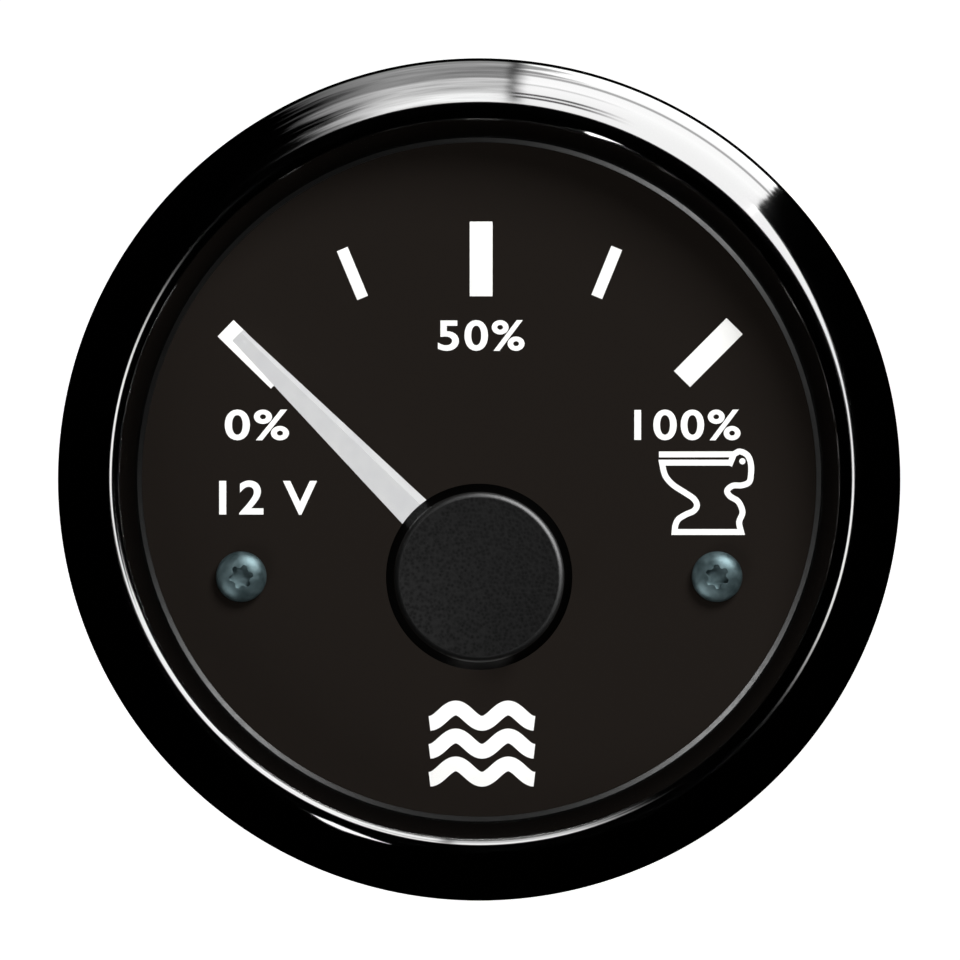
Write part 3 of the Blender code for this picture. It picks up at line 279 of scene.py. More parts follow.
def path(name, points, closed=False):
    """A row of edges, drawn by extruding one point from place to place."""
    bpy.ops.object.select_all(action="DESELECT")
    bpy.ops.mesh.primitive_plane_add(size=MM, location=points[0])
    piece = named(name)
    with editing(piece):
        bpy.ops.mesh.merge(type="CENTER")
        for here, there in zip(points, points[1:]):
            bpy.ops.mesh.extrude_vertices_move(TRANSFORM_OT_translate={"value": there - here})
        if closed:
            ends = (points[0], points[-1])
            select_points(lambda place: min((place - end).length for end in ends) < WELD)
            bpy.ops.mesh.edge_face_add()
    return piece


def turned(name, section, steps, x=0.0, up=0.0, closed=True):
    """A section spun once round its axis. An open one starts and ends on the axis."""
    points = [spot(x + radius, up, out) for radius, out in section]
    piece = path(name, points, closed)
    with editing(piece):
        bpy.ops.mesh.select_all(action="SELECT")
        bpy.ops.mesh.spin(steps=steps, angle=FULL_TURN, center=spot(x, up, 0), axis=(0, 1, 0))
        weld()
    return piece


def block(name, low, high):
    """A box between two corners, each given as (x, up, out)."""
    first = spot(*low)
    last = spot(*high)
    size = [abs(a - b) for a, b in zip(first, last)]
    bpy.ops.object.select_all(action="DESELECT")
    bpy.ops.mesh.primitive_cube_add(size=1, location=(first + last) / 2, scale=size)
    return named(name)


def rod(name, radius, rear, front, x, up, steps=TINY_STEPS):
    """A round bar along the gauge's axis."""
    bpy.ops.object.select_all(action="DESELECT")
    bpy.ops.mesh.primitive_cylinder_add(
        vertices=steps,
        radius=radius,
        depth=front - rear,
        location=spot(x, up, (rear + front) / 2),
        rotation=(math.pi / 2, 0, 0),
    )
    return named(name)


def seat(piece, x, up, turn_deg=0.0):
    """A piece made about the middle of the face is turned there and moved to its place."""
    make_active(piece)
    piece.location = spot(x, up, 0)
    piece.rotation_euler = (0, -math.radians(turn_deg), 0)
    bpy.ops.object.transform_apply(location=True, rotation=True, scale=True)
    return piece


def twin(piece, name):
    """A copy with its own mesh."""
    copy = piece.copy()
    copy.data = piece.data.copy()
    copy.name = name
    copy.data.name = name
    bpy.context.collection.objects.link(copy)
    return copy


def merge_pieces(name, pieces):
    bpy.ops.object.select_all(action="DESELECT")
    for piece in pieces:
        piece.select_set(True)
    bpy.context.view_layer.objects.active = pieces[0]
    bpy.ops.object.join()
    pieces[0].name = name
    pieces[0].data.name = name
    return pieces[0]


def hand_over(piece, finish, body, slot, *nodes):
    """Shades a piece smooth up to its edges, dresses it, hides the CAD nodes it stands for and hangs it on its body.
    """
    make_active(piece)
    bpy.ops.object.shade_smooth_by_angle(angle=SMOOTH_ANGLE)
    piece.data.materials.clear()
    piece.data.materials.append(finish)
    if nodes:
        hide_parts(*nodes)
    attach(piece, body)
    return piece


def dress(finish, *nodes):
    """Gives carried-over CAD nodes their finish."""
    for name in nodes:
        for slot in frame["nodes"][name].material_slots:
            slot.material = finish


# Materials

def colour(hex_code):
    """An sRGB hex value as the linear colour that the shaders read."""
    channels = [int(hex_code[index:index + 2], 16) / 255 for index in (1, 3, 5)]
    linear = [c / 12.92 if c <= 0.04045 else ((c + 0.055) / 1.055) ** 2.4 for c in channels]
    return (*linear, 1.0)


def add(tree, kind, settings=None, inputs=None):
    """Adds a node with its settings, and links or sets its inputs."""
    made = tree.nodes.new("ShaderNode" + kind)
    for name, value in (settings or {}).items():
        setattr(made, name, value)
    for name, value in (inputs or {}).items():
        if isinstance(value, bpy.types.NodeSocket):
            tree.links.new(value, made.inputs[name])
        else:
            made.inputs[name].default_value = value
    return made


def start_finish(name, **sockets):
    """A new material: its tree, its shader and the piece's own coordinates."""
    material = bpy.data.materials.new(name)
    material.use_nodes = True
    tree = material.node_tree
    shader = tree.nodes["Principled BSDF"]
    for socket, value in sockets.items():
        shader.inputs[socket.replace("_", " ")].default_value = value
    place = add(tree, "TexCoord").outputs["Object"]
    return material, tree, shader, place


def grain(tree, place, size, detail=3.0, roughness=0.5, stretch=(1, 1, 1)):
    """Noise whose grains are about size metres across, longer along an axis with a small stretch."""
    scaled = add(tree, "Mapping", inputs={"Vector": place, "Scale": stretch}).outputs[0]
    noise = add(
        tree,
        "TexNoise",
        inputs={"Vector": scaled, "Scale": 1 / size, "Detail": detail, "Roughness": roughness},
    )
    return noise.outputs["Fac"]


def spread(tree, value, low, high, start=0.3, end=0.7):
    """Maps a 0 to 1 pattern onto a range, clamped at both ends."""
    ranged = add(
        tree,
        "MapRange",
        inputs={"Value": value, "From Min": start, "From Max": end, "To Min": low, "To Max": high},
    )
    return ranged.outputs["Result"]


def blend_colours(tree, share, first, second):
    mixed = add(tree, "Mix", {"data_type": "RGBA"}, {0: share, 6: first, 7: second})
    return mixed.outputs[2]


def bump(tree, shader, height, depth, strength=1.0):
    made = add(tree, "Bump", inputs={"Height": height, "Distance": depth, "Strength": strength})
    tree.links.new(made.outputs[0], shader.inputs["Normal"])
    return made


def lathe_lines(tree, place, spacing, centre_x=0.0, centre_up=0.0):
    """Fine circles about an axis through the face, as a turning tool or a spinning form leaves."""
    centred = add(
        tree, "Mapping", {"vector_type": "POINT"}, {"Vector": place, "Location": (-centre_x, 0, -centre_up)}
    ).outputs[0]
    flat = add(tree, "VectorMath", {"operation": "MULTIPLY"}, {0: centred, 1: (1, 0, 1)}).outputs[0]
    reach = add(tree, "VectorMath", {"operation": "LENGTH"}, {0: flat}).outputs["Value"]
    line = add(tree, "CombineXYZ", inputs={0: reach}).outputs[0]
    return grain(tree, line, spacing, detail=2.0)


def stoved_enamel():
    """Gloss black enamel, sprayed and stoved on a spun steel ring.

    The eye sees a near mirror over deep black, with the faint circles of spinning under the gloss.
    """
    material, tree, shader, place = start_finish("stoved_black_enamel", Roughness=0.05, IOR=1.5)
    shader.inputs["Base Color"].default_value = colour("#020202")
    circles = lathe_lines(tree, place, 0.35 * MM)
    tree.links.new(spread(tree, circles, 0.035, 0.075), shader.inputs["Roughness"])
    # Real orange peel is 1 to 3 mm across and some micrometres deep.
    bump(tree, shader, grain(tree, place, 2.5 * MM, detail=1.0), 0.004 * MM, 0.4)
    return material


def gloss_moulding():
    """Black ABS from a polished mould: the dial ring. Nearly as deep and glossy as the bezel."""
    material, tree, shader, place = start_finish("gloss_black_abs_moulding", IOR=1.52)
    shader.inputs["Base Color"].default_value = colour("#010101")
    shader.inputs["Specular IOR Level"].default_value = 0.16
    tree.links.new(spread(tree, grain(tree, place, 1.2 * MM), 0.09, 0.15), shader.inputs["Roughness"])
    bump(tree, shader, grain(tree, place, 3 * MM, detail=1.0), 0.003 * MM, 0.4)
    return material


def satin_foot_painted_sheen():
    """The foot of the same moulding, with a satin edge. Its base colour is painted a lighter grey than the ring as a
    painted sheen, under the thin line that the ring lamps light.
    """
    material, tree, shader, place = start_finish("satin_abs_edge_painted_sheen", IOR=1.52)
    # Painted sheen: a grey tone on the foot of the same black moulding.
    tone = blend_colours(tree, grain(tree, place, 0.8 * MM), colour("#141414"), colour("#1e1e1d"))
    tree.links.new(tone, shader.inputs["Base Color"])
    tree.links.new(spread(tree, grain(tree, place, 0.3 * MM), 0.34, 0.4), shader.inputs["Roughness"])
    return material


def dial_lacquer():
    """Matt warm-black lacquer, screen-coated on a flat polycarbonate dial.

    The eye sees an even, almost brown black with a grain too fine to have a direction.
    """
    material, tree, shader, place = start_finish("matt_black_dial_lacquer", IOR=1.45)
    shader.inputs["Specular IOR Level"].default_value = 0.05
    # Real pigment grain is about 0.02 mm: it is drawn five times coarser to show.
    fleck = grain(tree, place, 0.1 * MM, detail=4.0)
    tone = blend_colours(tree, spread(tree, fleck, 0, 1), colour("#191512"), colour("#1b1714"))
    tree.links.new(tone, shader.inputs["Base Color"])
    tree.links.new(spread(tree, fleck, 0.62, 0.72), shader.inputs["Roughness"])
    bump(tree, shader, fleck, 0.004 * MM, 0.25)
    return material


def screen_ink():
    """White epoxy ink laid by a screen: flat, opaque, and a trace thinner at a few pinholes."""
    material, tree, shader, place = start_finish("white_screen_print_ink", IOR=1.5, Roughness=0.55)
    mesh_marks = grain(tree, place, 0.12 * MM, detail=2.0)
    tone = blend_colours(tree, spread(tree, mesh_marks, 0, 1), colour("#f6f5f2"), colour("#fbfaf8"))
    tree.links.new(tone, shader.inputs["Base Color"])
    bump(tree, shader, mesh_marks, 0.003 * MM, 0.3)
    return material


def needle_paint():
    """Satin pale grey paint sprayed on the moulded pointer: a soft sheen with a fine peel."""
    material, tree, shader, place = start_finish("satin_grey_sprayed_paint", IOR=1.5)
    cloud = grain(tree, place, 1.6 * MM, detail=4.0)
    tone = blend_colours(tree, spread(tree, cloud, 0, 1), colour("#cacacc"), colour("#d7d7d7"))
    tree.links.new(tone, shader.inputs["Base Color"])
    tree.links.new(spread(tree, cloud, 0.32, 0.42), shader.inputs["Roughness"])
    bump(tree, shader, grain(tree, place, 0.15 * MM), 0.003 * MM, 0.4)
    return material


def cap_moulding():
    """Black nylon from a spark-eroded mould: the pointer's cap, dull with a fine sparkle.

    Its rounded edge comes off the mould smoother and catches a thin bright line from a lamp. The edge and the side
    wall are painted darker than the top in the base colour, as painted shade.
    """
    material, tree, shader, place = start_finish("spark_textured_black_nylon", IOR=1.5)
    centred = add(tree, "VectorMath", {"operation": "SUBTRACT"}, {0: place, 1: (0, 0, PIVOT_UP)}).outputs[0]
    flat = add(tree, "VectorMath", {"operation": "MULTIPLY"}, {0: centred, 1: (1, 0, 1)}).outputs[0]
    reach = add(tree, "VectorMath", {"operation": "LENGTH"}, {0: flat}).outputs["Value"]
    edge = spread(tree, reach, 0, 1, CAP_TOP_RADIUS - CAP_EDGE, CAP_TOP_RADIUS - CAP_EDGE * 0.7)
    wall = spread(tree, reach, 0, 1, CAP_TOP_RADIUS - 0.02 * MM, CAP_TOP_RADIUS + 0.04 * MM)
    pits = add(
        tree, "TexVoronoi", {"feature": "F1"}, {"Vector": place, "Scale": 1 / (0.27 * MM)}
    ).outputs["Distance"]
    fine = grain(tree, place, 0.22 * MM, detail=4.0, roughness=0.75)
    height = add(tree, "Math", {"operation": "ADD"}, {0: pits, 1: fine}).outputs[0]
    speckle = spread(tree, height, 0, 1, 0.55, 1.25)
    tone = blend_colours(tree, speckle, colour("#0f0f0f"), colour("#202020"))
    # Painted shade: the rounded edge and the side wall get a darker base colour than the top, though the cap is one
    # moulding.
    tone = blend_colours(tree, edge, tone, colour("#060606"))
    tone = blend_colours(tree, wall, tone, colour("#030303"))
    tree.links.new(tone, shader.inputs["Base Color"])
    shine = calc(tree, "MULTIPLY", spread(tree, edge, 0.08, 0.8, 0, 1), spread(tree, wall, 1, 0.03, 0, 1))
    tree.links.new(shine, shader.inputs["Specular IOR Level"])
    tree.links.new(spread(tree, edge, 0.55, 0.47, 0, 1), shader.inputs["Roughness"])
    made = bump(tree, shader, height, 0.03 * MM, 0.6)
    tree.links.new(spread(tree, edge, 0.5, 0.1, 0, 1), made.inputs["Strength"])
    return material


def clear_lens():
    """Clear float glass: nothing to see but the light at its edge and a faint glare from the side.

    Lamps shine through it, because shadow rays meet a clear layer.
    """
    material, tree, shader, place = start_finish(
        "clear_float_glass", Roughness=0.0, IOR=1.52, Transmission_Weight=1.0
    )
    tone = blend_colours(tree, grain(tree, place, 6 * MM), colour("#fefefe"), colour("#fcfdfd"))
    tree.links.new(tone, shader.inputs["Base Color"])
    clear = add(tree, "BsdfTransparent")
    shadow = add(tree, "LightPath").outputs["Is Shadow Ray"]
    mixed = add(
        tree, "MixShader", inputs={0: shadow, 1: shader.outputs[0], 2: clear.outputs[0]}
    )
    tree.links.new(mixed.outputs[0], tree.nodes["Material Output"].inputs["Surface"])
    return material


def dark_plated_steel():
    """Blued, oiled steel of the dial screws: a grey-green metal, dull where the oil has dried."""
    material, tree, shader, place = start_finish("dark_phosphated_steel", Metallic=0.75)
    patch = grain(tree, place, 0.7 * MM, detail=5.0)
    tone = blend_colours(tree, spread(tree, patch, 0, 1), colour("#455659"), colour("#677a7e"))
    tree.links.new(tone, shader.inputs["Base Color"])
    tree.links.new(spread(tree, patch, 0.38, 0.52), shader.inputs["Roughness"])
    bump(tree, shader, grain(tree, place, 0.12 * MM), 0.006 * MM, 0.5)
    return material


def case_moulding():
    """Glass-filled black nylon from a spark-eroded mould: an even dull grain over the whole case."""
    material, tree, shader, place = start_finish("spark_textured_black_case", IOR=1.5)
    pits = add(
        tree, "TexVoronoi", {"feature": "SMOOTH_F1"}, {"Vector": place, "Scale": 1 / (0.4 * MM)}
    ).outputs["Distance"]
    flow = grain(tree, place, 9 * MM, detail=4.0, stretch=(1, 0.35, 1))
    tone = blend_colours(tree, spread(tree, flow, 0, 1), colour("#0f0f0f"), colour("#181818"))
    tree.links.new(tone, shader.inputs["Base Color"])
    tree.links.new(spread(tree, flow, 0.48, 0.6), shader.inputs["Roughness"])
    bump(tree, shader, pits, 0.05 * MM, 0.6)
    return material


def rubber_sheet():
    """EPDM, cut from calendered sheet: matt, dark, with a dusty bloom and a rubbed cut edge."""
    material, tree, shader, place = start_finish("black_epdm_rubber", IOR=1.48)
    bloom = grain(tree, place, 1.1 * MM, detail=6.0, roughness=0.65)
    tone = blend_colours(tree, spread(tree, bloom, 0, 1), colour("#161616"), colour("#262625"))
    tree.links.new(tone, shader.inputs["Base Color"])
    tree.links.new(spread(tree, bloom, 0.7, 0.85), shader.inputs["Roughness"])
    bump(tree, shader, grain(tree, place, 0.2 * MM), 0.015 * MM, 0.5)
    return material


def zinc_plating():
    """Bright zinc plate with a clear passivation over rolled steel.

    The eye sees a blue-white metal with faint straw patches and the rolling lines below.
    """
    material, tree, shader, place = start_finish("bright_zinc_plated_steel", Metallic=1.0)
    bath = grain(tree, place, 5 * MM, detail=4.0)
    tone = blend_colours(tree, spread(tree, bath, 0, 1), colour("#b3b8c0"), colour("#bfbeba"))
    tree.links.new(tone, shader.inputs["Base Color"])
    rolled = grain(tree, place, 0.25 * MM, detail=3.0, stretch=(0.06, 1, 1))
    tree.links.new(spread(tree, rolled, 0.28, 0.36), shader.inputs["Roughness"])
    bump(tree, shader, rolled, 0.002 * MM, 0.3)
    return material


def bar_brass(name, sheet):
    """Yellow brass: turned from bar with lathe lines, or stamped from sheet with a rolled grain."""
    material, tree, shader, place = start_finish(name, Metallic=1.0)
    tarnish = grain(tree, place, 2.2 * MM, detail=5.0)
    tone = blend_colours(tree, spread(tree, tarnish, 0, 1), colour("#c89f55"), colour("#d2ae62"))
    tree.links.new(tone, shader.inputs["Base Color"])
    stretch = (1, 0.08, 1) if sheet else (1, 1, 1)
    lines = grain(tree, place, 0.18 * MM, detail=3.0, stretch=stretch)
    tree.links.new(spread(tree, lines, 0.2, 0.36), shader.inputs["Roughness"])
    bump(tree, shader, lines, 0.006 * MM, 0.45)
    return material


def drawn_steel():
    """Bright deep-drawn steel of the shield can and the ground spindle, with lines along the draw."""
    material, tree, shader, place = start_finish("bright_drawn_steel", Metallic=1.0)
    lines = grain(tree, place, 0.2 * MM, detail=3.0, stretch=(1, 0.07, 1))
    tone = blend_colours(tree, lines, colour("#b9b9bd"), colour("#d3d3d5"))
    tree.links.new(tone, shader.inputs["Base Color"])
    tree.links.new(spread(tree, lines, 0.2, 0.38), shader.inputs["Roughness"])
    return material


def sintered_ferrite():
    """Sintered ferrite of the rotor magnet: a dull charcoal ceramic with fine pores."""
    material, tree, shader, place = start_finish("sintered_ferrite", IOR=1.9)
    pores = grain(tree, place, 0.3 * MM, detail=6.0, roughness=0.7)
    tone = blend_colours(tree, spread(tree, pores, 0, 1), colour("#2b2b2d"), colour("#434346"))
    tree.links.new(tone, shader.inputs["Base Color"])
    tree.links.new(spread(tree, pores, 0.5, 0.7), shader.inputs["Roughness"])
    bump(tree, shader, pores, 0.02 * MM, 0.6)
    return material


def natural_nylon():
    """Natural nylon of the bobbin: milky, a little waxy, lit a little way below its surface."""
    material, tree, shader, place = start_finish(
        "natural_nylon_moulding", IOR=1.53, Subsurface_Weight=0.2
    )
    shader.inputs["Subsurface Radius"].default_value = (1.0, 0.9, 0.7)
    shader.inputs["Subsurface Scale"].default_value = 0.8 * MM
    cloud = grain(tree, place, 3 * MM)
    tone = blend_colours(tree, cloud, colour("#dcd8c8"), colour("#ebe8dc"))
    tree.links.new(tone, shader.inputs["Base Color"])
    tree.links.new(spread(tree, cloud, 0.38, 0.5), shader.inputs["Roughness"])
    return material


def wound_copper():
    """Enamelled copper wire wound in close turns: fine bright ridges side by side."""
    material, tree, shader, place = start_finish("wound_enamelled_copper", Metallic=0.9)
    # Real wire here is 0.06 mm: the turns are drawn at 0.25 mm to show.
    turns = add(
        tree,
        "TexWave",
        {"wave_type": "BANDS", "bands_direction": "DIAGONAL", "wave_profile": "SIN"},
        {"Vector": place, "Scale": 1 / (20 * 0.25 * MM), "Distortion": 0.6, "Detail": 1.0},
    ).outputs["Fac"]
    tone = blend_colours(tree, turns, colour("#7a3413"), colour("#c8763c"))
    tree.links.new(tone, shader.inputs["Base Color"])
    tree.links.new(spread(tree, turns, 0.3, 0.42), shader.inputs["Roughness"])
    bump(tree, shader, turns, 0.06 * MM, 0.8)
    return material


def board_laminate():
    """Green solder mask over glass laminate: glossy, with paler tracks showing through."""
    material, tree, shader, place = start_finish("solder_masked_laminate", IOR=1.55, Roughness=0.3)
    tracks = add(
        tree,
        "TexVoronoi",
        {"feature": "DISTANCE_TO_EDGE", "distance": "EUCLIDEAN"},
        {"Vector": place, "Scale": 1 / (4.5 * MM), "Randomness": 0.35},
    ).outputs["Distance"]
    tone = blend_colours(tree, spread(tree, tracks, 1, 0, 0.03, 0.06), colour("#0d3a1d"), colour("#2b6d3a"))
    tree.links.new(tone, shader.inputs["Base Color"])
    weave = grain(tree, place, 0.5 * MM)
    bump(tree, shader, weave, 0.01 * MM, 0.3)
    return material


def lamp_housing():
    """The white moulded housing of a surface lamp, warm where the phosphor shows."""
    material, tree, shader, place = start_finish("white_lamp_housing", IOR=1.5, Roughness=0.4)
    tone = blend_colours(tree, grain(tree, place, 1.5 * MM), colour("#f2efe0"), colour("#e6dca6"))
    tree.links.new(tone, shader.inputs["Base Color"])
    return material


def banded_body(name, ground, band, spacing):
    """A dipped resistor or diode body with printed bands round it."""
    material, tree, shader, place = start_finish(name, IOR=1.5, Roughness=0.35)
    waves = add(
        tree,
        "TexWave",
        {"wave_type": "BANDS", "bands_direction": "Z"},
        {"Vector": place, "Scale": 1 / (20 * spacing)},
    ).outputs["Fac"]
    tone = blend_colours(tree, spread(tree, waves, 0, 1, 0.78, 0.82), colour(ground), colour(band))
    tree.links.new(tone, shader.inputs["Base Color"])
    bump(tree, shader, grain(tree, place, 0.5 * MM), 0.01 * MM, 0.4)
    return material


def clear_acrylic():
    """Polished clear acrylic of the light guide, faintly blue where it is thick."""
    material, tree, shader, place = start_finish(
        "polished_clear_acrylic", IOR=1.49, Roughness=0.04, Transmission_Weight=0.9
    )
    tone = blend_colours(tree, grain(tree, place, 5 * MM), colour("#eef4f6"), colour("#f8fbfc"))
    tree.links.new(tone, shader.inputs["Base Color"])
    return material


# Front

def make_bezel(finish):
    """The spun ring: a round crown that leans gently in and rolls over tightly above the lens."""
    box = extent("bezel")
    outer = box["right"]
    rear = box["rear"]
    top_radius = outer - CROWN_WIDTH
    base = box["front"] - CROWN_HEIGHT
    side = outer - BEZEL_SHEET
    lip_inner = top_radius - LIP_REACH
    lip_end = extent("lens")["front"] + 0.2 * MM
    lean = math.sin(math.radians(LIP_LEAN_DEG))
    slope = CROWN_WIDTH**2 / CROWN_HEIGHT
    lean_radius = top_radius - slope * lean
    lip_round = (lean_radius - lip_inner) / (1 - lean)
    round_out = box["front"] - slope + (slope - lip_round) * math.cos(math.radians(LIP_LEAN_DEG))
    section = [(lip_inner, lip_end + 0.08 * MM)]
    section += arc(lip_inner + lip_round, round_out, lip_round, lip_round, 180, 90 + LIP_LEAN_DEG, 14)
    section += arc(top_radius, box["front"] - slope, slope, slope, 90 + LIP_LEAN_DEG, 90, 5)[1:]
    section += arc(top_radius, base, CROWN_WIDTH, CROWN_HEIGHT, 90, 0, 40)[1:]
    section += arc(side, rear + BEZEL_SHEET, BEZEL_SHEET, BEZEL_SHEET, 0, -90, 8)
    section += [(outer - BEZEL_BACK_LIP - BEZEL_SHEET, rear)]
    section += [(outer - BEZEL_BACK_LIP - BEZEL_SHEET, rear + BEZEL_SHEET)]
    section += [(side, rear + BEZEL_SHEET)]
    section += arc(top_radius, base, CROWN_WIDTH - BEZEL_SHEET, CROWN_HEIGHT - BEZEL_SHEET, 0, 90, 12)
    section += [(lip_inner + BEZEL_SHEET, base + CROWN_HEIGHT - BEZEL_SHEET - 0.1 * MM)]
    section += [(lip_inner + BEZEL_SHEET, lip_end), (lip_inner + 0.08 * MM, lip_end)]
    return hand_over(turned("spun_bezel", section, RING_STEPS), finish, HOUSING, "black_enamel", "bezel")


def make_lens(finish):
    box = extent("lens")
    radius = box["right"]
    edge = 0.3 * MM
    section = [(0, box["front"]), (radius - edge, box["front"])]
    section += [(radius, box["front"] - edge), (radius, box["rear"] + edge / 2)]
    section += [(radius - edge / 2, box["rear"]), (0, box["rear"])]
    lens = turned("ground_edge_lens", section, RING_STEPS, closed=False)
    return hand_over(lens, finish, HOUSING, "clear_glass", "lens")


def make_dial_ring(gloss, satin):
    """The gloss cone between dial and lens, with a small sloped foot where it meets the dial."""
    box = extent("dial_ring")
    rim = box["right"]
    foot = box["rear"]
    top = box["front"]
    sight = extent("bezel")["right"] - CROWN_WIDTH - LIP_REACH
    dial_edge = extent("dial_plate")["right"] - 0.4 * MM
    neck = rim - 1.0 * MM
    inner = dial_edge - FOOT_INSET
    slope_top = foot + FOOT_STEP + FOOT_WIDTH * math.tan(math.radians(FOOT_SLOPE_DEG))
    section = [(inner, foot), (inner + 0.02 * MM, foot + FOOT_STEP), (inner + FOOT_WIDTH, slope_top)]
    section += [(inner + FOOT_WIDTH + 0.05 * MM, foot + FOOT_HEIGHT)]
    section += arc(sight + RING_SHOULDER, top - RING_SHOULDER, RING_SHOULDER, RING_SHOULDER, 180, 90, 8)
    section += [(rim - 0.1 * MM, top), (rim, top - 0.1 * MM)]
    section += [(rim, top - 0.8 * MM), (neck, top - 0.8 * MM), (neck, top - 1.0 * MM)]
    section += [(dial_edge + 0.4 * MM, foot)]
    ring = turned("moulded_dial_ring", section, RING_STEPS)
    hand_over(ring, gloss, HOUSING, "ring_plastic", "dial_ring")
    ring.data.materials.append(satin)
    for face in ring.data.polygons:
        reach = math.hypot(face.center.x, face.center.z)
        face.material_index = int(reach < inner + FOOT_WIDTH * 0.9 and -face.center.y < slope_top)
    return ring


def make_dial_plate(finish):
    box = extent("dial_plate")
    radius = box["right"]
    face_out = extent("dial_plate")["rear"] + 0.5 * MM
    edge = 0.05 * MM
    section = [(0, face_out), (radius - edge, face_out), (radius, face_out - edge)]
    section += [(radius, box["rear"]), (0, box["rear"])]
    plate = turned("dial_plate_lacquered", section, RING_STEPS, closed=False)
    cut(plate, rod("pivot_hole", 1.0 * MM, box["rear"] - MM, face_out + MM, 0, PIVOT_UP))
    for node in ("dial_screw_left", "dial_screw_right"):
        x, up = middle(node)
        cut(plate, rod("screw_hole", 1.25 * MM, box["rear"] - MM, face_out + MM, x, up))
    return hand_over(plate, finish, HOUSING, "dial_plastic", "dial_plate")


def dial_face():
    return extent("dial_plate")["rear"] + 0.5 * MM


def make_scale(ink):
    """Five ticks, each a block with its edges broken, laid out round the pivot."""
    face_out = dial_face()
    ticks = []
    for index, (degrees, right, up) in enumerate(TICKS):
        length, width = MINOR_TICK if index % 2 else MAJOR_TICK
        low = (SCALE_RADIUS - length, -width / 2, face_out - PRINT_SINK)
        high = (SCALE_RADIUS, width / 2, face_out + PRINT_THICKNESS)
        tick = block("tick", low, high)
        round_edges(tick, 0.025 * MM)
        ticks.append(seat(tick, right, PIVOT_UP + up, degrees))
    return hand_over(merge_pieces("scale_print", ticks), ink, HOUSING, "dial_plastic")


def make_figure(name, text, height, width, centre, ink):
    """Figures in plain sans, thickened to bold, spaced to their width and laid on the dial."""
    bpy.ops.object.select_all(action="DESELECT")
    bpy.ops.object.text_add(rotation=(math.pi / 2, 0, 0))
    lettering = bpy.context.object.data
    lettering.body = text
    lettering.offset = 0.02
    lettering.extrude = 0.05
    lettering.space_character = 1.12
    lettering.resolution_u = 6
    bpy.ops.object.convert(target="MESH")
    piece = named(name)
    with editing(piece):
        weld()
    size = piece.dimensions.copy()
    piece.scale = (width / size.x, (PRINT_SINK + PRINT_THICKNESS) / size.y, height / size.z)
    bpy.ops.object.transform_apply(location=True, rotation=True, scale=True)
    corners = [Vector(corner) for corner in piece.bound_box]
    middle_place = sum(corners, Vector()) / len(corners)
    out = dial_face() + (PRINT_THICKNESS - PRINT_SINK) / 2
    piece.location = spot(centre[0], centre[1], out) - middle_place
    bpy.ops.object.transform_apply(location=True, rotation=True, scale=True)
    return hand_over(piece, ink, HOUSING, "dial_plastic")


def curved(corners, pieces=5):
    """Points on a smooth curve through all the (x, up) corners, with none close to its two ends."""
    held = [corners[0], *corners, corners[-1]]
    points = []
    for a, b, c, d in zip(held, held[1:], held[2:], held[3:]):
        for piece in range(pieces):
            t = piece / pieces
            points.append(
                tuple(
                    (2 * q + (r - p) * t + (2 * p - 5 * q + 4 * r - u) * t**2 + (3 * q - p - 3 * r + u) * t**3) / 2
                    for p, q, r, u in zip(a, b, c, d)
                )
            )
    inner = [point for point in points[1:] if min(math.dist(point, corners[0]), math.dist(point, corners[-1])) > CORNER_GAP]
    return [corners[0], *inner, corners[-1]]


def stroke(name, route, width, thickness=PRINT_THICKNESS):
    """A printed line along a route of (x, up) points: a thin fence, thickened to the line's width."""
    face_out = dial_face()
    points = [spot(x, up, face_out - PRINT_SINK) for x, up in route]
    line = path(name, points)
    rise = spot(0, 0, PRINT_SINK + thickness)
    with editing(line):
        bpy.ops.mesh.select_all(action="SELECT")
        bpy.ops.mesh.extrude_edges_move(TRANSFORM_OT_translate={"value": rise})
        bpy.ops.mesh.select_all(action="SELECT")
        bpy.ops.mesh.normals_make_consistent(inside=False)
    shape(line, "SOLIDIFY", thickness=width, offset=0.0, use_even_offset=True)
    with editing(line):
        weld()
    return line


def make_toilet_symbol(ink):
    """A toilet from the side in one line: lid, hinge, waste pipe, foot and bowl."""
    lid_up = 1.79 * MM
    rim_up = 1.2 * MM
    base_up = -3.76 * MM
    hinge_x = 18.1 * MM
    back = [
        (18.74, -3.76), (18.6, -3.05), (18.84, -2.35), (18.55, -1.6), (17.95, -1.2), (17.74, -0.8),
        (18.15, -0.45), (18.8, -0.42), (19.3, -0.2), (19.44, 0.3), (19.44, 1.1), (19.2, 1.72),
        (18.65, 2.0), (18.2, 1.8),
    ]
    bowl = [
        (13.08, 1.2), (13.3, 0.3), (13.85, -0.37), (14.7, -0.93), (15.35, -1.38), (15.58, -1.85),
        (15.35, -2.25), (14.8, -2.5), (14.25, -2.85), (14.02, -3.35), (13.98, -3.76),
    ]

    def placed(points):
        return [(x * MM, up * MM) for x, up in points]

    route = [(hinge_x, rim_up)] + curved(placed(bowl)) + curved(placed(back)) + [(12.86 * MM, lid_up)]
    outline = stroke("toilet_outline", route, SYMBOL_LINE)
    ends = [(hinge_x + 0.12 * MM, lid_up), (hinge_x - SYMBOL_LINE / 2, rim_up - SYMBOL_LINE / 2)]
    link = stroke("hinge_link", ends, SYMBOL_LINE, PRINT_THICKNESS * 0.8)
    rear = dial_face() - PRINT_SINK
    dot = rod("hinge_pin", 0.22 * MM, rear, rear + PRINT_SINK + PRINT_THICKNESS, 18.83 * MM, 1.3 * MM)
    return hand_over(merge_pieces("toilet_print", [outline, link, dot]), ink, HOUSING, "dial_plastic")


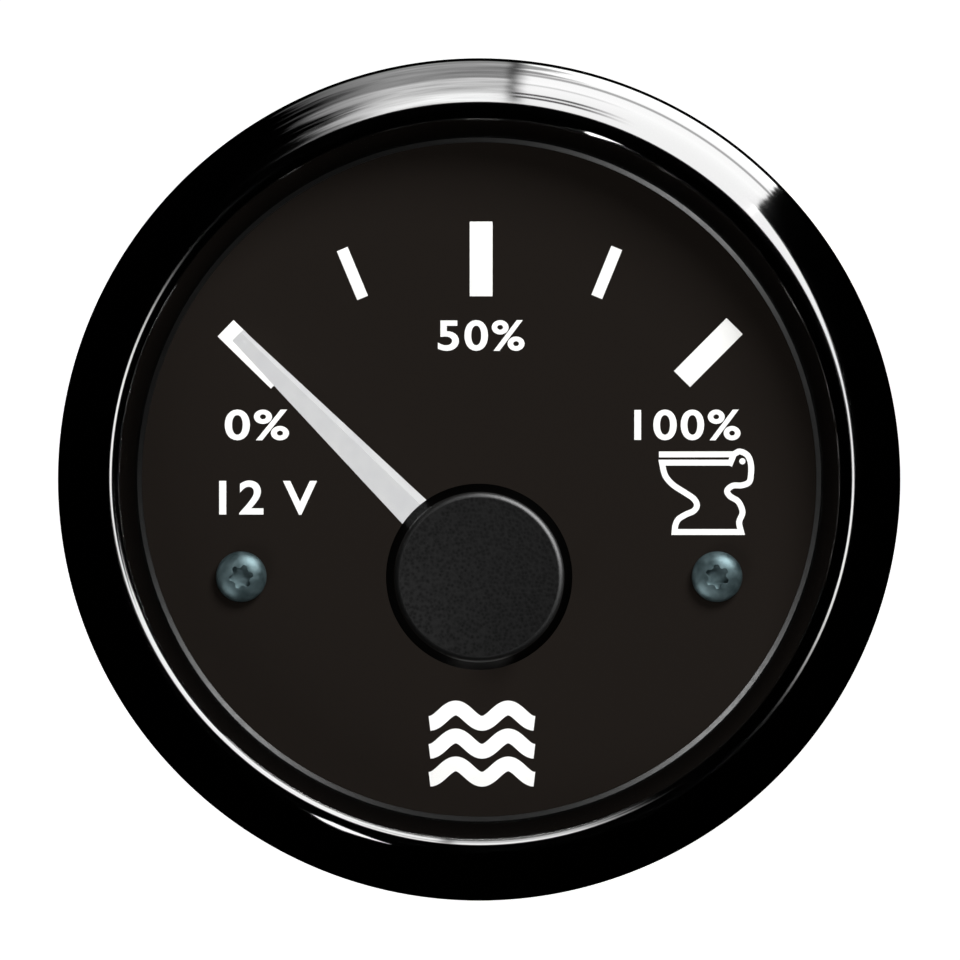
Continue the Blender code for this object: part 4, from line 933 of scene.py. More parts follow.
def make_wave_symbol(ink):
    """Three wavy lines, the common sign for a liquid."""
    centre_x = 0.2 * MM
    centre_up = -18.9 * MM
    half = 3.75 * MM
    lines = []
    for row in (-1, 0, 1):
        route = []
        for index in range(49):
            share = index / 48
            x = centre_x + (2 * share - 1) * half
            up = centre_up + row * 2.0 * MM - 0.55 * MM * math.cos(2 * FULL_TURN * share)
            route.append((x, up))
        lines.append(stroke("wave", route, 1.05 * MM))
    return hand_over(merge_pieces("liquid_print", lines), ink, HOUSING, "dial_plastic")


def make_pointer(finish):
    """Needle, hub and tail in one moulding: the needle tapers and has a ridge off its middle."""
    box = extent("pointer")
    rear = box["rear"]
    reach = SCALE_RADIUS - 1.0 * MM
    half = NEEDLE_ROOT_WIDTH / 2
    edge_out = rear + NEEDLE_EDGE
    needle = block("pointer_sprayed", (0, -half, rear), (reach, half, edge_out))
    ridge_up = NEEDLE_RIDGE_SHARE * NEEDLE_ROOT_WIDTH - half
    rise = spot(0, 0, NEEDLE_THICKNESS - NEEDLE_EDGE)
    with editing(needle):
        select_faces(lambda place, normal: normal.y < -0.9)
        bpy.ops.mesh.extrude_region_move(TRANSFORM_OT_translate={"value": rise})
        bpy.ops.transform.resize(value=(1, 1, 0), center_override=spot(0, ridge_up, 0))
        weld()
        bpy.ops.mesh.select_mode(type="VERT")
        select_points(lambda place: place.x > reach - WELD)
        taper = NEEDLE_TIP_WIDTH / NEEDLE_ROOT_WIDTH
        bpy.ops.transform.resize(value=(1, 1, taper), center_override=(0, 0, 0))
    unite(needle, rod("hub", HUB_RADIUS, rear, box["front"], 0, 0, SMALL_STEPS))
    tail_low = (-TAIL_LENGTH, -TAIL_WIDTH / 2, rear)
    unite(needle, block("tail", tail_low, (0, TAIL_WIDTH / 2, rear + TAIL_THICKNESS)))
    cut(needle, rod("hub_bore", 0.56 * MM, rear - MM, box["front"] + MM, 0, 0))
    cut(needle, rod("dimple", 0.18 * MM, edge_out + 0.34 * MM, box["front"], reach - 0.7 * MM, 0.1 * MM, 24))
    round_edges(needle, 0.1 * MM)
    seat(needle, 0, PIVOT_UP, POINTER_REST_DEG)
    hand_over(needle, finish, NEEDLE_BODY, "pointer_silver", "pointer")
    shape(needle, "WEIGHTED_NORMAL", keep_sharp=True)
    return needle


def make_pointer_cap(finish):
    """A shallow drafted cap, very slightly crowned, over a collar that grips the hub."""
    box = extent("pointer_cap")
    rear = box["rear"]
    front = box["front"]
    radius = box["right"]
    edge_radius = CAP_TOP_RADIUS - CAP_EDGE
    edge_out = front - CAP_CROWNING - CAP_EDGE
    bore = CAP_TOP_RADIUS - CAP_WALL
    roof = front - 1.0 * MM
    collar = (2.6 * MM, 3.4 * MM)
    section = []
    for index in range(9):
        reach = edge_radius * index / 8
        section.append((reach, front - CAP_CROWNING * (reach / edge_radius) ** 2))
    section += arc(edge_radius, edge_out, CAP_EDGE, CAP_EDGE, 86, 8, 8)
    section += [(radius - 0.05 * MM, rear + 0.12 * MM), (radius, rear), (bore, rear), (bore, roof)]
    section += [(collar[1], roof), (collar[1], rear), (collar[0], rear), (collar[0], roof), (0, roof)]
    cap = turned("pointer_cap_moulded", section, SMALL_STEPS * 2, 0, PIVOT_UP, closed=False)
    return hand_over(cap, finish, NEEDLE_BODY, "cap_plastic", "pointer_cap")


def thread_ridge(name, radius, rear, front):
    """One closed helical ridge about the middle of the face, for a rod whose root is radius - depth."""
    root = radius - THREAD_DEPTH - 0.05 * MM
    half = THREAD_PITCH * 0.46
    points = [spot(root, 0, front), spot(radius, 0, front - half * 0.9)]
    points += [spot(radius, 0, front - half * 1.1), spot(root, 0, front - half * 2)]
    ridge = path(name, points, closed=True)
    shape(
        ridge,
        "SCREW",
        axis="Y",
        angle=FULL_TURN,
        screw_offset=THREAD_PITCH,
        iterations=int((front - rear) / THREAD_PITCH) - 1,
        steps=24,
        render_steps=24,
        use_merge_vertices=True,
        merge_threshold=WELD,
    )
    with editing(ridge):
        bpy.ops.mesh.select_all(action="SELECT")
        bpy.ops.mesh.fill_holes(sides=4)
        weld()
    return ridge


def make_dial_screws(finish):
    """Domed thread-forming screws with a six-lobe recess."""
    for side in ("left", "right"):
        node = "dial_screw_" + side
        box = extent(node)
        x, up = middle(node)
        front = box["front"]
        head_rear = front - 1.1 * MM
        edge_out = head_rear + 0.32 * MM
        section = arc(0, edge_out, 1.82 * MM, front - edge_out, 90, 4, 12)
        section += [(1.8 * MM, head_rear), (1.1 * MM, head_rear)]
        section += [(1.1 * MM, box["rear"] + 1.2 * MM), (0, box["rear"])]
        screw = turned("lobed_screw_" + side, section, SMALL_STEPS, 0, 0, closed=False)
        recess = rod("recess", 0.86 * MM, front - 0.62 * MM, front + MM, 0, 0, 48)
        with editing(recess):
            select_points(lambda place: math.cos(6 * math.atan2(place.z, place.x)) < -0.5)
            bpy.ops.transform.resize(value=(0.74, 1, 0.74), center_override=(0, 0, 0))
            select_points(lambda place: abs(math.cos(6 * math.atan2(place.z, place.x))) < 0.5)
            bpy.ops.transform.resize(value=(0.88, 1, 0.88), center_override=(0, 0, 0))
        cut(screw, recess)
        round_edges(screw, 0.04 * MM, angle_deg=40)
        seat(screw, x, up, 10.0 if side == "left" else 35.0)
        hand_over(screw, finish, HOUSING, "screw_steel", node)


# Back

def make_gasket(finish):
    box = extent("panel_gasket")
    inner = 26.0 * MM
    outer = box["right"]
    rear = box["rear"]
    front = box["front"]
    edge = 0.2 * MM
    section = arc(outer - edge, front - edge, edge, edge, 90, 0, 3)
    section += arc(outer - edge, rear + edge, edge, edge, 0, -90, 3)
    section += arc(inner + edge, rear + edge, edge, edge, 270, 180, 3)
    section += arc(inner + edge, front - edge, edge, edge, 180, 90, 3)
    gasket = turned("cut_panel_gasket", section, RING_STEPS // 2)
    hand_over(gasket, finish, HOUSING, "black_rubber", "panel_gasket")


def make_case(finish):
    """The moulded pot with its flange, step, terminal pad, bosses and the holes through it."""
    box = extent("case")
    flange = box["right"]
    front = box["front"]
    flange_rear = extent("bezel")["rear"] + 0.8 * MM
    body = 25.75 * MM
    rear_body = 25.3 * MM
    rear = box["rear"] + 1.5 * MM
    floor = rear + 2.4 * MM
    ledge = extent("circuit_board")["rear"] - 0.2 * MM
    dial_seat = dial_face() + 0.1 * MM
    neck = extent("dial_ring")["right"] - 0.8 * MM
    section = [(0, floor), (23.7 * MM, floor), (23.7 * MM, ledge), (24.9 * MM, ledge)]
    section += [(24.9 * MM, dial_seat), (neck, front), (flange - 0.2 * MM, front)]
    section += [(flange, front - 0.2 * MM), (flange, flange_rear), (body, flange_rear)]
    section += [(body, -9.9 * MM), (body - 0.08 * MM, -10.05 * MM), (rear_body, -10.5 * MM)]
    section += arc(rear_body - 1.1 * MM, rear + 1.1 * MM, 1.1 * MM, 1.1 * MM, 0, -90, 8)
    section += [(21.2 * MM, rear), (21.0 * MM, rear + 0.3 * MM), (20.0 * MM, rear + 0.3 * MM)]
    section += [(19.8 * MM, rear), (0, rear)]
    case = turned("moulded_case", section, RING_STEPS // 2, closed=False)
    pad_x, pad_up = 0.0, middle("terminal_sender")[1]
    half_x = 12.9 * MM
    half_up = 5.15 * MM
    pad = block(
        "terminal_pad",
        (pad_x - half_x, pad_up - half_up, box["rear"]),
        (pad_x + half_x, pad_up + half_up, rear + MM),
    )
    with editing(pad):
        select_edges(lambda a, b: abs(a.y - b.y) > MM)
        bpy.ops.mesh.bevel(offset=1.2 * MM, segments=6)
        select_edges(lambda a, b: -a.y < box["rear"] + WELD and -b.y < box["rear"] + WELD)
        bpy.ops.mesh.bevel(offset=0.3 * MM, segments=3)
    unite(case, pad)
    for node in ("terminal_sender", "terminal_ground", "terminal_supply", "terminal_lighting"):
        x, up = middle(node)
        slot = block(
            "pin_slot",
            (x - 0.55 * MM, up - 0.95 * MM, box["rear"] - MM),
            (x + 0.55 * MM, up + 0.95 * MM, floor + MM),
        )
        cut(case, slot)
    for node in ("clamp_stud_left", "clamp_stud_right"):
        x, up = middle(node)
        cut(case, rod("stud_hole", STUD_BORE, rear - MM, floor + MM, x, up))
    for node in ("dial_screw_left", "dial_screw_right"):
        x, up = middle(node)
        unite(case, rod("boss", 2.6 * MM, floor - MM, ledge, x, up))
        cut(case, rod("pilot", 1.25 * MM, -12.4 * MM, ledge + MM, x, up))
    unite(case, rod("movement_seat", 5.6 * MM, floor - MM, extent("shield_can")["rear"] - 0.2 * MM, 0, PIVOT_UP))
    make_polarity_marks(case, box["rear"], pad_up)
    return hand_over(case, finish, HOUSING, "case_plastic", "case")


def make_polarity_marks(case, pad_rear, pad_up):
    """A raised minus by the ground blade and a plus by the supply blade, moulded on the pad."""
    for node, upright in (("terminal_ground", False), ("terminal_supply", True)):
        x = middle(node)[0]
        up = pad_up - 4.2 * MM
        low = (x - 0.7 * MM, up - 0.15 * MM, pad_rear - 0.15 * MM)
        mark = block("mark", low, (x + 0.7 * MM, up + 0.15 * MM, pad_rear + 0.2 * MM))
        if upright:
            low = (x - 0.15 * MM, up - 0.7 * MM, pad_rear - 0.15 * MM)
            unite(mark, block("stem", low, (x + 0.15 * MM, up + 0.7 * MM, pad_rear + 0.2 * MM)))
        unite(case, mark)


def make_terminals(finish):
    """Stamped blades: chamfered corners, a sharpened lead-in, a latch hole and a long pin."""
    box = extent("terminal_sender")
    x, up = middle("terminal_sender")
    tip = box["rear"]
    shoulder = tip + 8.0 * MM
    blade = block("blade", (-0.4 * MM, -3.15 * MM, tip), (0.4 * MM, 3.15 * MM, shoulder))
    with editing(blade):
        select_edges(lambda a, b: abs(a.x - b.x) > WELD and -a.y < tip + WELD)
        bpy.ops.mesh.bevel(offset=1.0 * MM, segments=1)
    unite(blade, block("pin", (-0.4 * MM, -0.8 * MM, shoulder - MM), (0.4 * MM, 0.8 * MM, box["front"])))
    bpy.ops.object.select_all(action="DESELECT")
    bpy.ops.mesh.primitive_cylinder_add(
        vertices=32, radius=0.8 * MM, depth=3 * MM, location=spot(0, 0, tip + 3.2 * MM),
        rotation=(0, math.pi / 2, 0),
    )
    cut(blade, named("latch_hole"))
    round_edges(blade, EDGE_BREAK, angle_deg=40)
    for node in ("terminal_sender", "terminal_ground", "terminal_supply", "terminal_lighting"):
        x, up = middle(node)
        copy = seat(twin(blade, "stamped_" + node), x, up)
        hand_over(copy, finish, HOUSING, "brass", node)
    bpy.data.objects.remove(blade)


def chamfered_blank(radius, rear, front, chamfer, spare):
    """A turned shape that trims a prism's corners off at both ends."""
    wide = radius + spare
    slope = (chamfer + spare) * 0.6
    section = [(0, front), (radius - chamfer, front), (wide, front - slope)]
    section += [(wide, rear + slope), (radius - chamfer, rear), (0, rear)]
    return turned("blank", section, SMALL_STEPS, closed=False)


def make_jam_nuts(finish):
    for side in ("left", "right"):
        node = "jam_nut_" + side
        box = extent(node)
        x, up = middle(node)
        corner = (box["top"] - box["bottom"]) / 2
        nut = rod("pressed_" + node, corner, box["rear"], box["front"], 0, 0, 6)
        blank = chamfered_blank(corner, box["rear"], box["front"], 0.55 * MM, MM)
        combine(nut, "INTERSECT", blank)
        bore = rod("bore", STUD_BORE, box["rear"] - MM, box["front"] + MM, 0, 0, SMALL_STEPS)
        cut(nut, bore)
        round_edges(nut, 0.06 * MM, angle_deg=40)
        seat(nut, x, up)
        hand_over(nut, finish, HOUSING, "zinc_plate", node)


def make_studs(finish):
    """Headed studs with a rolled thread along the shank."""
    for side in ("left", "right"):
        node = "clamp_stud_" + side
        box = extent(node)
        x, up = middle(node)
        head_rear = box["front"] - 2.4 * MM
        root = STUD_RADIUS - THREAD_DEPTH
        section = [(0, box["front"] - MM), (root, box["front"] - MM)]
        section += [(root, box["rear"] + 0.1 * MM), (root - 0.1 * MM, box["rear"]), (0, box["rear"])]
        stud = turned("threaded_stud_" + side, section, TINY_STEPS, closed=False)
        corner = (box["top"] - box["bottom"]) / 2
        head = rod("head", corner, head_rear, box["front"], 0, 0, 6)
        combine(head, "INTERSECT", chamfered_blank(corner, head_rear, box["front"], 0.5 * MM, MM))
        unite(stud, head)
        ridge = thread_ridge("thread", STUD_RADIUS, box["rear"] + 0.1 * MM, head_rear)
        stud = merge_pieces("threaded_stud_" + side, [stud, ridge])
        seat(stud, x, up)
        hand_over(stud, finish, HOUSING, "zinc_plate", node)


def make_strap(finish):
    """One strip of steel, bent four times: foot, leg, bridge, leg and foot, with two holes."""
    box = extent("clamp_bracket")
    foot_end = box["right"]
    rear = box["rear"]
    front = box["front"]
    thick = 1.5 * MM
    inner_bend = 0.7 * MM
    outer_bend = inner_bend + thick
    leg = 26.6 * MM
    half = (box["top"] - box["bottom"]) / 2
    foot_bend = (leg + outer_bend, front - outer_bend)
    corner_bend = (leg + thick - outer_bend, rear + outer_bend)
    inside = [(foot_end, front)]
    inside += arc(*foot_bend, outer_bend, outer_bend, 90, 180, 8)
    inside += arc(*corner_bend, inner_bend, inner_bend, 0, -90, 8)
    outside = arc(*corner_bend, outer_bend, outer_bend, -90, 0, 8)
    outside += arc(*foot_bend, inner_bend, inner_bend, 180, 90, 8)
    outside += [(foot_end, front - thick)]
    right = inside[:]
    left = [(-x, out) for x, out in reversed(inside)]
    right_out = outside
    left_out = [(-x, out) for x, out in reversed(outside)]
    outline = right[1:] + left[:-1] + [(-foot_end, front), (-foot_end, front - thick)]
    outline += left_out[1:] + right_out[:-1] + [(foot_end, front - thick), (foot_end, front)]
    strap = path("bent_strap", [spot(x, -half, out) for x, out in outline], closed=True)
    with editing(strap):
        bpy.ops.mesh.select_all(action="SELECT")
        bpy.ops.mesh.edge_face_add()
        bpy.ops.mesh.extrude_region_move(TRANSFORM_OT_translate={"value": spot(0, 2 * half, 0)})
        weld()
        select_edges(lambda a, b: abs(abs(a.x) - foot_end) < WELD and abs(a.y - b.y) > WELD
                     and abs(a.x - b.x) < WELD)
        bpy.ops.mesh.bevel(offset=1.0 * MM, segments=5)
    for node in ("clamp_stud_left", "clamp_stud_right"):
        x, up = middle(node)
        cut(strap, rod("stud_hole", STUD_BORE, rear - MM, rear + thick + MM, x, up))
    round_edges(strap, EDGE_BREAK, angle_deg=40)
    hand_over(strap, finish, CLAMP, "zinc_plate", "clamp_bracket")


def make_spring_washers(finish):
    """A square wire coiled once, its cut ends a little apart."""
    for side in ("left", "right"):
        node = "spring_washer_" + side
        box = extent(node)
        x, up = middle("clamp_stud_" + side)
        section = path(
            "coiled_" + node,
            [
                spot(STUD_BORE, 0, box["front"]),
                spot(3.6 * MM, 0, box["front"]),
                spot(3.6 * MM, 0, box["rear"]),
                spot(STUD_BORE, 0, box["rear"]),
            ],
            closed=True,
        )
        gap = 0.7 * MM / (3.0 * MM)
        with editing(section):
            bpy.ops.mesh.select_all(action="SELECT")
            bpy.ops.mesh.edge_face_add()
            bpy.ops.mesh.spin(steps=72, angle=FULL_TURN - gap, center=(0, 0, 0), axis=(0, 1, 0))
            bpy.ops.mesh.select_all(action="SELECT")
            bpy.ops.mesh.fill_holes(sides=4)
            weld()
        round_edges(section, 0.08 * MM, angle_deg=40)
        seat(section, x, up, 90.0 + math.degrees(gap) / 2)
        hand_over(section, finish, CLAMP, "zinc_plate", node)


def make_thumb_nuts(finish):
    """Turned brass nuts with a straight knurl pressed in, and chamfers at both ends."""
    for side in ("left", "right"):
        node = "thumb_nut_" + side
        box = extent(node)
        x, up = middle(node)
        radius = (box["top"] - box["bottom"]) / 2
        nut = rod("knurled_" + node, radius, box["rear"], box["front"], 0, 0, KNURLS * 4)
        tooth = FULL_TURN / KNURLS
        with editing(nut):
            for share, depth in ((0.5, 1.0), (0.25, 0.35)):
                select_points(
                    lambda place: abs(abs((math.atan2(place.z, place.x) / tooth) % 1 - 0.5) - abs(share - 0.5)) < 0.05
                )
                pull = 1 - depth * KNURL_DEPTH / radius
                bpy.ops.transform.resize(value=(pull, 1, pull), center_override=(0, 0, 0))
        blank = chamfered_blank(radius, box["rear"], box["front"], 0.6 * MM, MM)
        combine(nut, "INTERSECT", blank)
        cut(nut, rod("bore", STUD_BORE, box["rear"] - MM, box["front"] + MM, 0, 0, SMALL_STEPS))
        with editing(nut):
            bpy.ops.mesh.select_all(action="SELECT")
            bpy.ops.mesh.remove_doubles(threshold=0.01 * MM)
            bpy.ops.mesh.dissolve_degenerate(threshold=0.005 * MM)
        seat(nut, x, up)
        hand_over(nut, finish, CLAMP, "brass", node)


# Studio

def emitter(name):
    material = bpy.data.materials.new(name)
    material.use_nodes = True
    tree = material.node_tree
    tree.nodes.clear()
    return material, tree


def window(tree, value, low, high, soft_low, soft_high):
    """1 between low and high and 0 outside, with soft sides."""
    rise = add(
        tree,
        "MapRange",
        {"interpolation_type": "SMOOTHSTEP"},
        {"Value": value, "From Min": low - soft_low, "From Max": low + soft_low},
    ).outputs["Result"]
    fall = add(
        tree,
        "MapRange",
        {"interpolation_type": "SMOOTHSTEP"},
        {
            "Value": value, "From Min": high - soft_high, "From Max": high + soft_high,
            "To Min": 1.0, "To Max": 0.0,
        },
    ).outputs["Result"]
    return add(tree, "Math", {"operation": "MULTIPLY"}, {0: rise, 1: fall}).outputs[0]


def calc(tree, operation, first, second=0.0):
    return add(tree, "Math", {"operation": operation}, {0: first, 1: second}).outputs[0]


DOME_RADIUS = 2.0


def start_dome(name, radius):
    """A dome round the gauge, and on it the bearing round the dial and slant off the axis, in degrees."""
    bpy.ops.object.select_all(action="DESELECT")
    bpy.ops.mesh.primitive_uv_sphere_add(segments=96, ring_count=48, radius=radius)
    dome = named(name)
    material, tree = emitter(name + "_light")
    material.cycles.emission_sampling = "NONE"
    dome.data.materials.append(material)
    place = add(tree, "TexCoord").outputs["Object"]
    split = add(tree, "SeparateXYZ", inputs={0: place}).outputs
    bearing = calc(tree, "DEGREES", calc(tree, "ARCTAN2", split["Z"], split["X"]))
    depth = calc(tree, "MULTIPLY", split["Y"], -1 / radius)
    return dome, tree, bearing, calc(tree, "DEGREES", calc(tree, "ARCCOSINE", depth))


def finish_dome(dome, tree, level, receivers):
    """Lets the dome glow by its level, see-through otherwise, for the mirrors among its receivers."""
    glow = add(tree, "Emission", inputs={"Strength": level})
    clear = add(tree, "BsdfTransparent")
    both = add(tree, "AddShader", inputs={0: glow.outputs[0], 1: clear.outputs[0]})
    out = add(tree, "OutputMaterial")
    tree.links.new(both.outputs[0], out.inputs["Surface"])
    only_glossy(dome)
    light_only(dome, receivers)


def make_reflection_dome(receivers):
    """The light that the gloss ring mirrors: a tall soft window above, with a tail to the right.

    It is drawn on a dome by bearing (degrees round the dial, 0 at the right and 90 on top) and by
    slant (degrees off the line to the camera).
    """
    dome, tree, bearing, slant = start_dome("studio_reflection_dome", DOME_RADIUS)
    streak_place = add(
        tree, "CombineXYZ", inputs={0: calc(tree, "MULTIPLY", slant, 0.09), 1: calc(tree, "MULTIPLY", bearing, 0.05)}
    ).outputs[0]
    streaks = add(
        tree, "TexNoise", inputs={"Vector": streak_place, "Scale": 1.0, "Detail": 4.0, "Roughness": 0.6}
    ).outputs["Fac"]
    ragged_place = add(
        tree, "CombineXYZ", inputs={0: calc(tree, "MULTIPLY", slant, 0.07), 1: calc(tree, "MULTIPLY", bearing, 0.1)}
    ).outputs[0]
    ragged = add(
        tree, "TexNoise", inputs={"Vector": ragged_place, "Scale": 1.0, "Detail": 3.0}
    ).outputs["Fac"]
    shifted = calc(tree, "ADD", bearing, spread(tree, ragged, -0.35, 0.35))
    far_shifted = calc(tree, "ADD", bearing, spread(tree, streaks, -6, 6))

    # The white pane right of the bearing 84, and the grey pane left of it
    slants = window(tree, slant, 17, 144, 1.2, 2.0)
    white = calc(tree, "MULTIPLY", window(tree, shifted, 44.5, 84.2, 0.3, 1.6), slants)
    pane_mask = window(tree, shifted, 85.6, 200, 1.0, 1)
    fade = window(tree, far_shifted, -90, 110, 1, 8)
    grey = calc(tree, "MULTIPLY", calc(tree, "MULTIPLY", pane_mask, fade), slants)
    bar = window(tree, slant, 96, 103, 2.0, 2.0)
    near_streaks = window(tree, bearing, 71, 87, 5.0, 1.0)
    pair = calc(
        tree, "ADD", window(tree, slant, 33.0, 38.0, 1.5, 1.5), window(tree, slant, 41.5, 46.5, 1.5, 1.5)
    )
    faint = window(tree, slant, 69, 73, 2.0, 2.0)
    dark = calc(tree, "ADD", calc(tree, "MULTIPLY", pair, 0.9), calc(tree, "MULTIPLY", faint, 0.35))
    dark = calc(tree, "MULTIPLY", dark, near_streaks)
    smudge = calc(tree, "MULTIPLY", window(tree, far_shifted, 80, 100, 3.5, 1), window(tree, slant, 104, 146, 3, 2))
    dark = calc(tree, "ADD", dark, calc(tree, "MULTIPLY", smudge, 0.72))
    kept = calc(tree, "SUBTRACT", calc(tree, "SUBTRACT", 1.0, dark), calc(tree, "MULTIPLY", bar, 0.6))
    white_level = spread(tree, slant, 22.0, 5.7, 75, 145)
    white_level = calc(tree, "MULTIPLY", white_level, calc(tree, "MAXIMUM", kept, 0.05))
    near_level = spread(tree, slant, 21.0, 11.5, 22, 60)
    far_level = spread(tree, slant, 5.2, 1.2, 84, 144)
    far_share = window(tree, slant, 82, 200, 4, 1)
    grey_level = add(tree, "Mix", {"data_type": "FLOAT"}, {0: far_share, 2: near_level, 3: far_level}).outputs[0]
    grey_level = calc(tree, "MULTIPLY", grey_level, spread(tree, streaks, 0.6, 1.4))
    pane = calc(
        tree, "ADD", calc(tree, "MULTIPLY", white, white_level), calc(tree, "MULTIPLY", grey, grey_level)
    )

    # The tail: a thin strip that widens up to the pane
    risen = calc(tree, "MAXIMUM", bearing, 0.0)
    upper = calc(tree, "ADD", calc(tree, "MULTIPLY", calc(tree, "MULTIPLY", risen, risen), 0.0179), 10.0)
    lower = calc(tree, "ADD", calc(tree, "MULTIPLY", risen, 0.26), 5.0)
    inside_upper = window(tree, calc(tree, "SUBTRACT", slant, upper), -90, 0, 1, 0.8)
    inside_lower = window(tree, calc(tree, "SUBTRACT", slant, lower), 0, 180, 0.8, 1)
    along = window(tree, bearing, -26, 44.8, 12, 0.3)
    tail = calc(tree, "MULTIPLY", calc(tree, "MULTIPLY", inside_upper, inside_lower), along)
    total = calc(tree, "ADD", pane, calc(tree, "MULTIPLY", tail, 22.0))

    finish_dome(dome, tree, total, receivers)


def only_glossy(card):
    card.visible_camera = False
    card.visible_diffuse = False
    card.visible_transmission = False
    card.visible_shadow = False
    card.visible_volume_scatter = False


def light_only(source, receivers):
    group = bpy.data.collections.new(source.name + "_lights")
    for piece in receivers:
        group.objects.link(piece)
    source.light_linking.receiver_collection = group


def all_but(name, skipped):
    """A collection that stands for every piece but the skipped ones."""
    group = bpy.data.collections.new(name)
    for piece in skipped:
        group.objects.link(piece)
    for entry in group.collection_objects:
        entry.light_linking.link_state = "EXCLUDE"
    return group


def make_near_card(name, corners, aim, strength, receivers):
    """A small card close to the ring, drawn by (bearing, radius, out) corners, lit on its aimed side."""
    points = []
    for bearing_deg, radius, out in corners:
        bearing = math.radians(bearing_deg)
        points.append(spot(radius * math.cos(bearing), radius * math.sin(bearing), out))
    card = path(name, points, closed=True)
    with editing(card):
        bpy.ops.mesh.select_all(action="SELECT")
        bpy.ops.mesh.edge_face_add()
        face = bmesh.from_edit_mesh(card.data).faces[0]
        if face.normal.dot(aim) < 0:
            bpy.ops.mesh.flip_normals()
    material, tree = emitter(name + "_light")
    material.cycles.emission_sampling = "NONE"
    glow = add(tree, "Emission", inputs={"Strength": strength})
    clear = add(tree, "BsdfTransparent")
    back = add(tree, "NewGeometry").outputs["Backfacing"]
    both = add(tree, "MixShader", inputs={0: back, 1: glow.outputs[0], 2: clear.outputs[0]})
    out = add(tree, "OutputMaterial")
    tree.links.new(both.outputs[0], out.inputs["Surface"])
    card.data.materials.append(material)
    only_glossy(card)
    light_only(card, receivers)


def make_near_cards(receivers):
    """Three small lights that only the nearest stretch of the ring can mirror."""
    crown = [
        (243.4, 28.8 * MM, 31 * MM), (245.5, 30.6 * MM, 31 * MM), (248.5, 31.4 * MM, 31 * MM),
        (252.5, 30.6 * MM, 31 * MM), (256.3, 30.2 * MM, 31 * MM), (252.0, 28.6 * MM, 31 * MM),
        (247.0, 27.6 * MM, 31 * MM),
    ]
    make_near_card("studio_crown_card", crown, spot(0, 0, -1), 26.0, receivers)
    lip = [
        (73.2, 21 * MM, 12.6 * MM), (72.6, 21 * MM, 18.6 * MM), (70.0, 21 * MM, 18.4 * MM),
        (66.6, 21 * MM, 15.6 * MM), (69.4, 21 * MM, 12.2 * MM), (72.0, 21 * MM, 10.2 * MM),
    ]
    lip_bearing = math.radians(70)
    outwards = spot(math.cos(lip_bearing), math.sin(lip_bearing), 0)
    make_near_card("studio_lip_card", lip, outwards, 30.0, receivers)
    strip = []
    for bearing_deg, out in ((8, 136), (14, 100), (20, 37), (32, 20), (46, 14), (46, 136)):
        strip.append((bearing_deg, 18.5 * MM / math.cos(math.radians(bearing_deg - 24)), out * MM))
    strip_bearing = math.radians(204)
    inwards = spot(math.cos(strip_bearing), math.sin(strip_bearing), 0)
    make_near_card("studio_strip_card", strip, inwards, 22.0, receivers)


def make_area_light(name, bearing_deg, slant_deg, distance, size, power, unlit, unshading):
    """A soft lamp aimed at the dial, placed by its bearing round the dial and slant off the axis."""
    bearing = math.radians(bearing_deg)
    slant = math.radians(slant_deg)
    across = math.sin(slant) * distance
    place = spot(math.cos(bearing) * across, math.sin(bearing) * across, math.cos(slant) * distance)
    data = bpy.data.lights.new(name, "AREA")
    data.shape = "DISK"
    data.size = size
    data.energy = power
    lamp = bpy.data.objects.new(name, data)
    lamp.location = place
    lamp.rotation_euler = (-place).to_track_quat("-Z", "Y").to_euler()
    bpy.context.scene.collection.objects.link(lamp)
    lamp.visible_camera = False
    lamp.light_linking.receiver_collection = all_but(name + "_unlit", unlit)
    lamp.light_linking.blocker_collection = all_but(name + "_unshading", unshading)
    return lamp


def make_surround(receivers):
    """Soft light all round for the metals and the case behind the panel: pale above, dim below."""
    dome, tree, bearing, slant = start_dome("studio_surround", DOME_RADIUS * 1.1)
    side = window(tree, bearing, 20, 150, 30, 30)
    banks = window(tree, slant, 70, 125, 18, 12)
    level = calc(tree, "ADD", calc(tree, "MULTIPLY", calc(tree, "MULTIPLY", side, banks), 0.8), 0.14)
    finish_dome(dome, tree, level, receivers)
    dome.visible_diffuse = True


